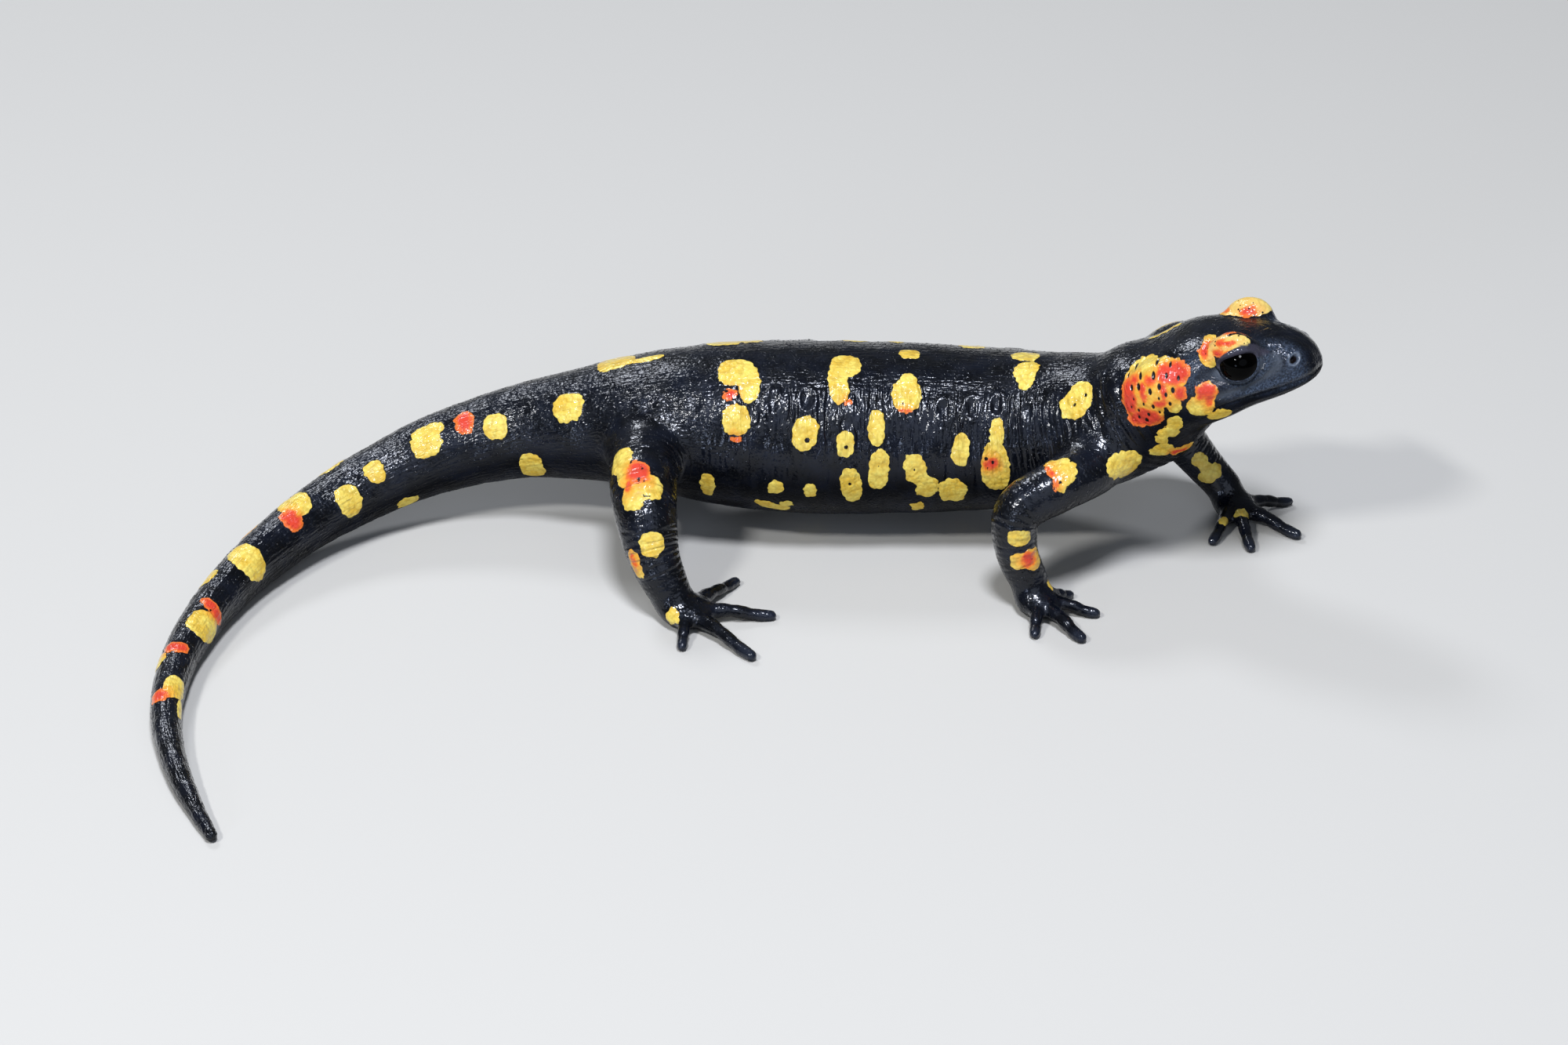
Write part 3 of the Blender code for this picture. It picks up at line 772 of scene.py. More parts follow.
# on the throat, shoulder and hands: place in the animal's axes, half sizes
spaceMarks = {
    "yellow": [
        ((50.7, -17.4, 24.6), (1.1, 1.6, 1.5)), ((50.0, -17.0, 23.0), (1.5, 1.6, 0.9)),
        ((49.2, -16.8, 21.9), (0.9, 1.4, 1.0)), ((49.4, -16.2, 19.9), (1.7, 1.6, 1.3)),
        ((52.2, -14.6, 19.2), (2.2, 1.6, 1.0)),
        ((44.9, -17.0, 18.2), (2.1, 2.2, 2.0)), ((43.4, -17.9, 18.4), (1.6, 1.8, 1.7)),
        ((50.0, 6.5, 20.0), (1.8, 2.0, 2.0)),
        ((62.2, -3.1, 2.3), (1.1, 0.9, 1.1)), ((59.6, -4.3, 2.0), (0.8, 0.9, 0.9)),
    ],
    "red": [((51.9, -14.8, 19.0), (1.5, 1.6, 0.6))],
}

# the poison gland's mouths on each parotoid: the field's middle and reach, behind the snout and up
glandPores = {
    "middle": (20.3, 1.8), "reach": (4.4, 3.9), "count": 48, "spacing": 1.05, "width": 0.6, "depth": 0.16,
}
# relief of the face: depth or height, and half width, in millimetres
faceRelief = {
    "mouth": (0.2, 0.15), "mouthDeepens": 0.1, "upperLip": (0.10, 0.42), "lowerLip": (0.06, 0.4),
    "nostril": (0.8, 0.36), "nostrilRing": (0.13, 0.17), "nostrilRingAt": 0.64,
    "cheek": 0.22, "lidCrease": (0.12, 0.16), "glandPad": 0.22, "glandRim": (0.14, 0.3),
}
folds = {
    # depth and spacing in millimetres
    "costalDepth": 0.13, "costalSpacing": 4.3,
    "wrinkle": 0.09, "wrinkleSpacing": 1.5,
    "neck": 0.2, "neckSpacing": 1.4,
    "tail": 0.04, "tailSpacing": 3.3,
    "hip": 0.07, "hipSpacing": 0.85, "hipReach": 5.0, "hipCrease": 0.16,
    "underEye": 0.2, "underEyeSpacing": 0.7,
    "limb": 0.05, "limbSpacing": 0.85,
    "digit": 0.10, "digitTip": 0.12,
    "dimple": 0.2, "dimpleRim": 0.17,
    # rounded dimples along the flank, where glands lie under the skin: along, round
    "dimples": ((24.3, -50), (30.4, -44), (34.9, -46), (39.4, -48), (58.6, -42), (63.2, -44), (73.0, -46),
                (78.5, -50)),
}

# general unevenness of the skin, and how far the marks stand out of it
lumps = {"broad": 0.10, "fine": 0.03, "marks": 0.08}


def ellipseMark(x, y, length, width, turn=0):
    # distance inside the edge of a slightly squared oval, in millimetres
    turn = math.radians(turn)
    across = x * math.cos(turn) + y * math.sin(turn)
    around = y * math.cos(turn) - x * math.sin(turn)
    ratio = ((np.abs(across) / length * 2) ** 2.4 + (np.abs(around) / width * 2) ** 2.4) ** (1 / 2.4)
    reach = np.hypot(across, around)
    inside = reach / np.maximum(ratio, 1e-3) - reach
    return np.where(ratio < 0.02, min(length, width) / 2, inside)


def tubeMarks(marks, along, side, rise, skinGap):
    # the highest of all marks at each vertex beside a spine, kept to that spine's own skin
    def roundFrom(angle):
        # length round the spine from that bearing
        return (np.mod(turned - math.radians(angle) + math.pi, math.tau) - math.pi) * radius

    turned = np.arctan2(side, rise)
    radius = np.hypot(side, rise)
    fields = {colour: np.full(len(along), noMark) for colour in ("yellow", "red")}
    for colour, field in fields.items():
        for place, angle, length, width, *turn in marks[colour]:
            inside = ellipseMark(along - place, roundFrom(angle), length, width, *turn)
            np.maximum(field, inside, out=field)
        np.minimum(field, (1.2 - skinGap) * 2, out=field)
    pits = np.full(len(along), noMark)
    for place, angle, width in marks["pits"]:
        np.maximum(pits, width / 2 - np.hypot(along - place, roundFrom(angle)), out=pits)
    pits = np.minimum(pits, (1.2 - skinGap) * 2)
    return fields["yellow"], fields["red"], pits


def solidMarks(marks, points):
    field = np.full(len(points), noMark)
    for middle, sizes in marks:
        offset = points - np.array(middle)
        ratio = np.linalg.norm(offset / np.array(sizes), axis=1)
        reach = np.linalg.norm(offset, axis=1)
        inside = np.where(ratio < 0.02, min(sizes), reach / np.maximum(ratio, 1e-3) - reach)
        np.maximum(field, inside, out=field)
    return field


def parotoidPores():
    # spreads gland mouths over each parotoid: behind the snout, up, and a size share
    chance = np.random.default_rng(seed)
    middle = np.array(glandPores["middle"])
    found = []
    for _ in range(4000):
        reach, turn = math.sqrt(chance.uniform()), chance.uniform(0, math.tau)
        place = middle + np.array(glandPores["reach"]) * reach * (math.cos(turn), math.sin(turn))
        if all(np.linalg.norm(place - other) > glandPores["spacing"] for other, _ in found):
            found.append((place, chance.uniform(0.45, 1.05)))
        if len(found) == glandPores["count"]:
            break
    return found


porePlaces = parotoidPores()


def gatherMarks(points, inHead, parts):
    # yellow, red and dark fields for every vertex, in millimetres inside each edge
    yellow, red, pits = tubeMarks(bodyMarks, parts["along"], parts["side"], parts["rise"], parts["body"])
    for name, marks in limbMarks.items():
        along, side, rise = parts[name + "Place"].T
        gap = np.maximum(parts[name], 0.8 - parts["body"])
        fields = tubeMarks(marks, along, side, rise, gap)
        yellow, red, pits = (np.maximum(a, b) for a, b in zip((yellow, red, pits), fields))
    behind = inHead * (-1, 1, 1)
    yellow = np.maximum(yellow, solidMarks(headMarks["yellow"], behind))
    yellow = np.maximum(yellow, solidMarks(spaceMarks["yellow"], points))
    red = np.maximum(red, solidMarks(headMarks["red"], behind))
    red = np.maximum(red, solidMarks(spaceMarks["red"], points))
    onGland = (np.abs(inHead[:, 1]) > 3.0) & (behind[:, 0] > 14) & (behind[:, 0] < 27)
    for place, share in porePlaces:
        # the two sides differ: the left glands' mouths are set a little further back
        back = place[0] + np.where(inHead[:, 1] > 0, 0.45, 0.0)
        reach = np.hypot((behind[:, 0] - back) * 1.2, (inHead[:, 2] - place[1]) * 0.75)
        pore = np.minimum(glandPores["width"] / 2 * share - reach, yellow - 0.35)
        pits = np.where(onGland, np.maximum(pits, pore), pits)
    # painted shade: the inside of each nostril is painted as dark as the pores
    return yellow, red, np.maximum(pits, 0.4 - fromNostril(inHead))


def noiseOf(points, scale, shift=0.0):
    # smooth noise of that size in millimetres, about -1 to 1
    places = (points / scale + shift).tolist()
    return np.array([noise.noise(place) for place in places])


def fromNostril(inHead):
    # distance from the nearer nostril's middle, measured in the side view
    behind, up = headShape["nostril"]
    return np.where(np.abs(inHead[:, 1]) > 1.5, np.hypot(-inHead[:, 0] - behind, inHead[:, 2] - up), 9.0)


def fromMouth(behind, rise):
    # height above the line where the lips meet, which drops towards its corners
    return rise + behind * math.tan(math.radians(3.0)) + 0.1 + 0.5 * smooth(9.5, 14.0, behind)


def sculptHead(inHead, parts, height):
    # mouth, nostrils, cheeks, folds round the eyes and the pad of each parotoid
    behind, lateral, rise = headPlace(inHead)
    onHead = smooth(1.2, 0.4, parts["head"])
    mouth = fromMouth(behind, rise)
    reach = smooth(14.2, 12.6, behind) * onHead
    deep, wide = faceRelief["mouth"]
    deep = deep + faceRelief["mouthDeepens"] * smooth(0.5, 4.0, behind)
    height -= deep * bell(mouth, wide) * reach
    for name, fromLine in (("upperLip", 0.6), ("lowerLip", -0.6)):
        high, wide = faceRelief[name]
        height += high * bell(mouth - fromLine, wide) * reach
    nostril = fromNostril(inHead)
    deep, wide = faceRelief["nostril"]
    height -= deep * bell(nostril, wide)
    high, wide = faceRelief["nostrilRing"]
    height += high * bell(nostril - faceRelief["nostrilRingAt"], wide)
    middle, radii = headShape["cheek"]
    cheek = np.linalg.norm((np.column_stack([behind, lateral, rise]) - middle) / radii, axis=1)
    height += faceRelief["cheek"] * smooth(1.15, 0.3, cheek)
    deep, wide = faceRelief["lidCrease"]
    for far, edge, _, y in bothEyes(inHead):
        around = (edge > 0.2) & (edge < 3.6) & (far < 6.5)
        below = smooth(0.6, -0.6, y) * smooth(0.25, 0.5, edge) * smooth(3.0, 1.6, edge)
        above = smooth(0.2, 1.2, y) * smooth(0.4, 0.7, edge) * smooth(1.6, 1.1, edge)
        ripple = folds["underEye"] * (0.5 - wave(edge - 0.2, folds["underEyeSpacing"]) ** 2) * below
        height += np.where(around, ripple - deep * bell(edge - 0.95, wide) * above, 0)
    deep, wide = faceRelief["glandRim"]
    for flip in (1, -1):
        middle, radii, tilt = headShape["gland"]
        gap = egg(inHead * (1, flip, 1), middle, np.array(radii) * 1.08, tilt)
        height += faceRelief["glandPad"] * smooth(0.5, -0.2, gap) - deep * bell(gap - 0.8, wide)
    return height


def hipPlace(points, name):
    # distance from the middle of the thigh's root, and 1 above it
    one, two = (np.array(station[0]) for station in limbShapes[name]["stations"][1:3])
    offset = points - (one + (two - one) * 0.4)
    return np.linalg.norm(offset, axis=1), smooth(0.0, 1.6, offset[:, 2])


def sculptBody(points, parts, height):
    # costal folds, fine wrinkles, dimples and the folds of the neck and tail
    along, side, rise = parts["along"], parts["side"], parts["rise"]
    degrees = bearing(side, rise)
    onBody = smooth(1.0, 0.3, parts["body"]) * smooth(-0.2, 0.8, parts["head"])
    trunk = smooth(12, 18, along) * smooth(74, 64, along)
    flank = smooth(30, 55, np.abs(degrees)) * smooth(150, 120, np.abs(degrees))
    spacing = folds["costalSpacing"]
    drift = noiseOf(points, 7.0) * 0.5
    phase = np.mod(along + drift + spacing / 2, spacing) - spacing / 2
    height -= folds["costalDepth"] * bell(phase, 0.42) * trunk * flank * onBody
    # upright wrinkles: noise drawn out round the body, a little wavy
    waver = noiseOf(points, 2.6, 4.0) * 0.55
    drawn = np.column_stack([(along + waver) / folds["wrinkleSpacing"], points[:, 1:] / 3.4])
    ridge = np.abs(noiseOf(drawn, 1.0, 3.0))
    ridge = 1 - smooth(0.0, 0.36, ridge)
    band = smooth(22, 40, np.abs(degrees)) * smooth(112, 78, np.abs(degrees))
    patches = 0.45 + 0.55 * smooth(-0.3, 0.25, noiseOf(points, 5.5, 9.0))
    lengthways = smooth(5, 10, along) * smooth(78, 60, along)
    wrinkle = band * patches * lengthways * onBody
    height -= folds["wrinkle"] * ridge * wrinkle
    neck = smooth(5.5, 7.5, along) * smooth(16.0, 12.5, along) * smooth(22, 40, np.abs(degrees))
    wrinkle = np.maximum(wrinkle, neck * smooth(0.0, 0.6, parts["head"]) * smooth(1.0, 0.3, parts["body"]))
    height -= folds["neck"] * wave(along + drift, folds["neckSpacing"]) ** 2 * neck * onBody
    tail = smooth(86, 100, along)
    height -= folds["tail"] * bell(np.mod(along + drift, folds["tailSpacing"]) - 1.6, 0.4) * tail
    radius = np.hypot(side, rise)
    for place, angle in folds["dimples"]:
        for turn in (angle, -angle):
            y = np.radians(np.mod(degrees - turn + 180, 360) - 180) * radius
            reach = np.hypot((along - place) * 1.05, y * 0.75)
            own = smooth(3.0, 2.2, reach)
            dent = folds["dimpleRim"] * bell(reach - 1.3, 0.36) - folds["dimple"] * bell(reach, 0.75)
            height += dent * onBody * own
            wrinkle = wrinkle * (1 - 0.85 * bell(reach, 1.3))
    # arcs of loose skin over the top of each hind limb, the deepest where it leaves the trunk
    for name in ("rightHind", "leftHind"):
        reach, above = hipPlace(points, name)
        band = smooth(3.2, 4.0, reach) * smooth(7.6, 6.2, reach) * above
        reach = reach - folds["hipReach"]
        height -= folds["hip"] * (1 - wave(reach, folds["hipSpacing"])) * band
        height -= folds["hipCrease"] * bell(reach, 0.3) * above
    return height, wrinkle


def sculptLimbs(points, parts, height):
    # creases across the limbs, mostly at the elbow or knee, and at the digits' joints
    crease = np.zeros(len(points))
    tips = np.zeros(len(points))
    for name, shape in limbShapes.items():
        along = parts[name + "Place"][:, 0]
        onLimb = smooth(1.0, 0.4, parts[name]) * smooth(-0.3, 0.8, parts["body"])
        bend = limbSpines[name]["along"][-1] * shape["bend"]
        ripple = 1 - 2 * wave(along + 0.35 * noiseOf(points, 1.6), folds["limbSpacing"])
        share = onLimb * (0.15 + 0.85 * bell(along - bend - 5.0, 4.5)) * shape["creased"]
        share *= smooth(0.5, 1.5, parts[name + "Foot"])
        height += folds["limb"] * ripple * share * smooth(-0.4, 0.3, noiseOf(points, 1.8, 7.0))
        crease = np.maximum(crease, share)
        for toe in digitSpines[name]:
            close = near(points, toe["middle"], 2.0)
            gap, place, _, _ = tube(points[close], toe)
            share = place / toe["along"][-1]
            own = smooth(0.7, 0.2, gap)
            groove = bell(share - 0.45, 0.06) + bell(share - 0.72, 0.06)
            groove = folds["digit"] * groove * smooth(0.2, 0.35, share)
            height[close] -= own * (groove + folds["digitTip"] * smooth(0.9, 1.08, share))
            tips[close] = np.maximum(tips[close], own * smooth(0.72, 0.98, share))
    return height, crease, tips


def vertexNormals(mesh, points):
    # outward direction at each vertex, from its faces
    setPoints(mesh, points)
    mesh.normal_update()
    return np.array([vert.normal[:] for vert in mesh.verts])


def nearMarks(points, parts, margin):
    yellow, red, _ = gatherMarks(points, toHead(points), parts)
    return (np.maximum(yellow, red) > -margin) & (np.maximum(yellow, red) < 0.9)


def refineSkin(mesh):
    # finer faces where there is more to show: first whole regions, then eyes, lips, nostrils and pores
    points = settle(relax(mesh, getPoints(mesh), 0.5, 2), 2)
    points = settle(relax(mesh, points, 0.4, 2), 1)
    report(f"rough skin of {len(points)} vertices")
    _, parts = skinDistance(points, detail=True)
    along, degrees = parts["along"], bearing(parts["side"], parts["rise"])
    headward = (parts["head"] < 0.8) | ((along < 14) & (parts["body"] < 1.0))
    feet = nearestLimb(parts, "Foot") < 0.8
    flank = (along > 12) & (along < 66) & (parts["body"] < 0.8) & (degrees < -24) & (degrees > -110)
    setPoints(mesh, points)
    hips = (hipPlace(points, "rightHind")[0] < 8) | (hipPlace(points, "leftHind")[0] < 8)
    refine(mesh, headward | feet | flank | hips | nearMarks(points, parts, 0.6))
    points = settle(relax(mesh, getPoints(mesh), 0.4, 1), 2)
    report(f"refined to {len(points)} vertices")
    inHead = toHead(points)
    behind, lateral, rise = headPlace(inHead)
    eyes = np.zeros(len(points), bool)
    for far, edge, _, y in bothEyes(inHead):
        eyes |= (edge > -0.6) & (edge < np.where(y < 0.3, 1.9, 0.9)) & (far < 5.0)
    _, parts = skinDistance(points, detail=True)
    pores = (gatherMarks(points, inHead, parts)[2] > -0.35) & (behind > 14) & (behind < 27) & (lateral > 3)
    mouth = np.abs(fromMouth(behind, rise)) < 0.42
    mouth &= (behind < 14.5) & (np.abs(skinDistance(points)) < 1)
    nostril = fromNostril(inHead) < 1.1
    setPoints(mesh, points)
    refine(mesh, eyes | mouth | nostril | pores)
    return settle(getPoints(mesh), 1)


def sculptSkin(mesh, points):
    # raises and sinks the skin along its own normals, and works out the fields that paint it
    points = fromHead(shapeLids(toHead(points)))
    _, parts = skinDistance(points, detail=True)
    inHead = toHead(points)
    yellow, red, pits = gatherMarks(points, inHead, parts)
    height = sculptHead(inHead, parts, np.zeros(len(points)))
    height, wrinkle = sculptBody(points, parts, height)
    height, crease, tips = sculptLimbs(points, parts, height)
    height += lumps["broad"] * noiseOf(points, 4.5, 1.0) + lumps["fine"] * noiseOf(points, 1.4, 5.0)
    height += lumps["marks"] * smooth(-0.15, 0.35, np.maximum(yellow, red))
    height -= glandPores["depth"] * smooth(-0.15, 0.2, pits)
    # nothing moves on the inner side of the lids
    for far, edge, _, _ in bothEyes(inHead):
        height *= np.where(far < 4.5, smooth(0.05, 0.5, edge), 1)
    normals = vertexNormals(mesh, points)
    points = points + normals * height[:, None]
    points[:, 2] = np.maximum(points[:, 2], 0)
    crossed, beside, wrinkle = foldPlace(points, inHead, parts, np.maximum(wrinkle, crease))
    fields = {
        "beside": beside[:, 0], "above": beside[:, 1], "streaked": streakShare(parts),
        # the "snout" field places the painted sheen on the side of the snout
        "snout": snoutSheenShare(inHead, parts), "specked": lidShare(inHead),
        # the "rim" field places the painted highlight round the nostrils and on the lower lids
        "under": underShare(normals, parts), "rim": rimHighlightShare(inHead),
        "yellow": yellow, "red": red, "dark": pits, "wrinkle": wrinkle,
        "tip": tips, "alongBody": crossed, "shade": upperLidEdge(inHead),
        "granular": granuleShare(points, inHead, parts, yellow),
        "pebbled": pebbleShare(inHead, parts),
    }
    return points, fields


def foldPlace(points, inHead, parts, wrinkle):
    # the line that fine creases cross: along the nearest spine, or outwards from the hip or eye
    along = parts["along"].copy()
    beside = np.column_stack([parts["side"], parts["rise"]])
    for name in limbShapes:
        own = parts[name] < parts["body"]
        along[own] = parts[name + "Place"][own, 0] + 200
        beside[own] = parts[name + "Place"][own, 1:]
        wrinkle = wrinkle * smooth(0.15, 0.9, np.abs(parts[name] - parts["body"]))
    for name in ("rightHind", "leftHind"):
        reach, above = hipPlace(points, name)
        arcs = reach < 7.6
        along[arcs] = reach[arcs] * 1.5 + 400
        band = smooth(7.4, 6.4, reach) * smooth(2.6, 3.4, reach) * above
        wrinkle = wrinkle * smooth(7.7, 9.0, reach) + 0.9 * band
    edges = np.min([edge for _, edge, _, _ in bothEyes(inHead)], axis=0)
    onHead = (parts["head"] < parts["body"] - 0.2) & (-inHead[:, 0] < 17)
    along[onHead] = edges[onHead] * 1.3
    ring = smooth(0.5, 1.2, edges) * smooth(6.5, 3.0, edges) * smooth(6.4, 4.8, inHead[:, 2])
    wrinkle = wrinkle + np.where(onHead, ring * 0.8, 0)
    apart = np.maximum(np.abs(parts["head"] - parts["body"] + 0.2), np.abs(-inHead[:, 0] - 17) * 0.5)
    wrinkle = wrinkle * smooth(0.05, 0.6, np.maximum(apart, 0.6 * (parts["head"] > 1.5)))
    return along, beside, np.minimum(wrinkle, 1)


def streakShare(parts):
    # where the skin's fine relief runs lengthways: the tail, the hips and the top of the back
    along, degrees = parts["along"], np.abs(bearing(parts["side"], parts["rise"]))
    share = np.maximum(smooth(64, 80, along), 0.8 * smooth(48, 26, degrees) * smooth(4, 12, along))
    limb = np.min([np.abs(parts[name] - parts["body"]) for name in limbShapes], axis=0)
    return share * smooth(1.0, 0.3, parts["body"]) * smooth(0.1, 0.8, parts["head"]) * smooth(0.1, 0.8, limb)


def snoutSheenShare(inHead, parts):
    # painted sheen: the side of the snout, from the eye to the nostril and down to the lip, and the temple
    # are painted a lighter blue-grey, in fine veins, for the light they reflect
    behind, lateral, rise = headPlace(inHead)
    share = smooth(0.6, 2.2, behind) * smooth(12.5, 8.5, behind)
    share *= smooth(1.2, 3.4, lateral) * smooth(6.2, 4.2, rise) * smooth(-1.4, 0.2, rise)
    temple = smooth(12.2, 13.4, behind) * smooth(17.0, 15.6, behind)
    temple *= smooth(0.8, 2.4, rise) * smooth(6.4, 5.2, rise)
    share = np.maximum(share, 0.7 * temple)
    for far, edge, _, y in bothEyes(inHead):
        # painted shade: darker lines in the folds of the lower lid, where the painted sheen is left out
        ring = smooth(0.2, 0.5, edge) * smooth(2.6, 1.8, edge) * smooth(0.8, 0.2, y) * (far < 6)
        share *= 1 - 0.8 * ring * wave(edge - 0.2, folds["underEyeSpacing"])
    return share * smooth(0.9, 0.2, parts["head"])


def pebbleShare(inHead, parts):
    # the face, where the skin's fine grain is the strongest
    behind, _, rise = headPlace(inHead)
    return smooth(1.0, 0.2, parts["head"]) * smooth(18, 14, behind) * smooth(7.0, 5.0, rise)


def rimHighlightShare(inHead):
    # painted highlight, pale grey: the ring round each nostril and the edge of each lower lid
    share = 0.62 * bell(fromNostril(inHead) - 0.6, 0.12)
    for far, edge, _, y in bothEyes(inHead):
        below = smooth(0.5, -0.3, y) * (far < 5.5)
        share = np.maximum(share, below * (0.42 * bell(edge - 0.42, 0.14) + 0.3 * bell(edge - 1.2, 0.16)))
    return share


def underShare(normals, parts):
    # trunk skin that faces the ground is rubbed drier than the rest; the limbs stay wet further round
    onLimb = smooth(1.0, 0.4, nearestLimb(parts)) * smooth(-0.3, 0.8, parts["body"])
    upward = normals[:, 2]
    return smooth(0.3, -0.25, upward) * (1 - onLimb) + smooth(0.0, -0.6, upward) * onLimb


def lidShare(inHead):
    # the upper lids, where the yellow carries small black specks
    edges = [np.where(far < 4.6, smooth(0.5, 1.0, edge), 0) for far, edge, _, _ in bothEyes(inHead)]
    return np.max(edges, axis=0) * smooth(4.6, 5.6, inHead[:, 2])


def granuleShare(points, inHead, parts, yellow):
    # granules are thick on the back and flanks, thin on the belly and head, none on lids, lips and toes
    degrees = np.abs(bearing(parts["side"], parts["rise"]))
    share = 1.0 - 0.75 * smooth(95, 140, degrees)
    share *= 1.0 - 0.6 * smooth(1.0, 0.3, parts["head"]) * smooth(20, 15, -inHead[:, 0])
    share *= 0.25 + 0.75 * smooth(0.3, 2.0, nearestLimb(parts, "Foot"))
    for far, edge, _, _ in bothEyes(inHead):
        share *= np.where(far < 4.5, smooth(0.6, 1.4, edge), 1)
    share *= smooth(0.0, -0.4, yellow) * smooth(0.25, 0.8, points[:, 2])
    return np.clip(share, 0, 1) * (np.abs(-inHead[:, 0] - 1.0) > 1.6)


def upperLidEdge(inHead):
    # the bare grey edge of each upper lid
    shade = np.zeros(len(inHead))
    for far, edge, x, y in bothEyes(inHead):
        margin = smooth(0.72, 0.6, edge - 0.14 * x) * smooth(0.0, 0.4, y)
        shade = np.maximum(shade, np.where(far < 4.2, margin, 0))
    return shade


def toRow(points):
    return (points + rowShift) * mm


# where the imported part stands: its left eye against the same eye in the animal's own axes
low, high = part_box("eye_left")
cadEye = fromHead(np.array([eyeShape["cadMiddle"]]))[0]
rowShift = np.array((low + high) / 2) / mm - cadEye
report(f"the animal's axes start at {np.round(rowShift, 2)} mm")


def finishMesh(name, mesh, points, material, fields):
    # the piece as a smooth-shaded object at the origin, with its fields as attributes
    setPoints(mesh, toRow(points))
    data = bpy.data.meshes.new(name)
    mesh.normal_update()
    mesh.to_mesh(data)
    mesh.free()
    data.shade_smooth()
    for field, values in fields.items():
        attribute = data.attributes.new(field, "FLOAT", "POINT")
        attribute.data.foreach_set("value", np.asarray(values, np.float32))
    data.materials.append(material)
    return addObject(name, data)


skinLook = {
    "black": "#040508",
    "blueBlack": "#0B0F19",
    "toeGrey": "#1F2430",
    "lidGrey": "#34333E",
    # painted sheen on the side of the snout and the temple
    "snoutSheen": "#3B4657",
    # painted highlight round the nostrils and along the lower lids
    "rimHighlight": "#6A7482",
    "cream": "#DFC07C",
    # painted shade in the crevices between the marks' knobs
    "creviceShade": "#A8862C",
    "lemon": "#E0CE66",
    "yolk": "#D3AE3E",
    "amber": "#DC9A34",
    "orange": "#DA702A",
    "red": "#C93F2B",
    "pore": "#0E0807",
    "sheen": "#D3DEF8",
    # cloudy changes of colour, wetness and relief: size in millimetres, detail
    "clouds": {
        "edge": (1.6, 2.0), "smear": (1.0, 4.0), "fill": (2.4, 2.0), "blueBlack": (3.2, 4.0),
        "veins": (0.24, 3.0), "wet": (1.7, 3.0), "granules": (2.1, 2.0),
        "grain": (0.27, 1.5),  # real grain is 0.1; drawn coarser so that it shows
    },
    # skin cells: size in millimetres, unevenness
    "cells": {"scallop": (0.85, 0.75), "grains": (0.34, 1.0), "knobs": (0.75, 0.9), "specks": (0.8, 1.0)},
    "granule": 0.5,  # across, in millimetres: real ones are 0.2 to 0.4, drawn coarser so that they show
    "creaseSpacing": 1.0,
    "creaseTurns": 220.0,  # how often a crease bends, per metre of its own length
    "streak": (2.6, 0.42),  # length and width of the lengthways relief
    # relief from the coarsest to the finest: strength, and depth in millimetres
    "relief": {
        "granules": (0.8, 0.08), "creases": (0.9, 0.2), "streaks": (0.9, 0.22), "knobs": (0.9, 0.11),
        "grain": (0.8, 0.06),
    },
    "roughness": (0.25, 0.41),  # where the wet film is whole, and where it has gone
    "markRoughness": 0.06,  # marks are that much duller than the black
    "filmRoughness": 0.06,
    "filmIor": 1.33,
    "ior": 1.30,
    # gloss level and film on the back, and how much less of each on skin that faces the ground
    "gloss": (0.42, -0.36),
    "film": (1.0, -0.9),
}


# words that the node trees share
maths, spread, mix = "ShaderNodeMath", "ShaderNodeMapRange", "ShaderNodeMix"
minus, plus, times, timesPlus = (
    {"operation": word} for word in ("SUBTRACT", "ADD", "MULTIPLY", "MULTIPLY_ADD"))
softly, rgba = {"interpolation_type": "SMOOTHSTEP"}, {"data_type": "RGBA"}


def readSkin(tree):
    # what the skin is painted and raised by: each point's place, the mesh's own fields, and noise
    place = addNode(tree, "ShaderNodeTexCoord").outputs["Object"]
    field = {
        name: addNode(tree, "ShaderNodeAttribute", {"attribute_name": name}).outputs["Fac"]
        for name in ("yellow", "red", "dark", "tip", "snout", "rim", "specked", "shade", "wrinkle",
                     "alongBody", "beside", "above", "streaked", "pebbled", "under")
    }
    cloud = {
        name: addNode(tree, "ShaderNodeTexNoise", None,
                      {"Vector": place, "Scale": 1 / (size * mm), "Detail": detail})
        for name, (size, detail) in skinLook["clouds"].items()
    }
    cells = {
        name: addNode(tree, "ShaderNodeTexVoronoi", None,
                      {"Vector": place, "Scale": 1 / (size * mm), "Randomness": uneven})
        for name, (size, uneven) in skinLook["cells"].items()
    }
    return place, field, cloud, cells


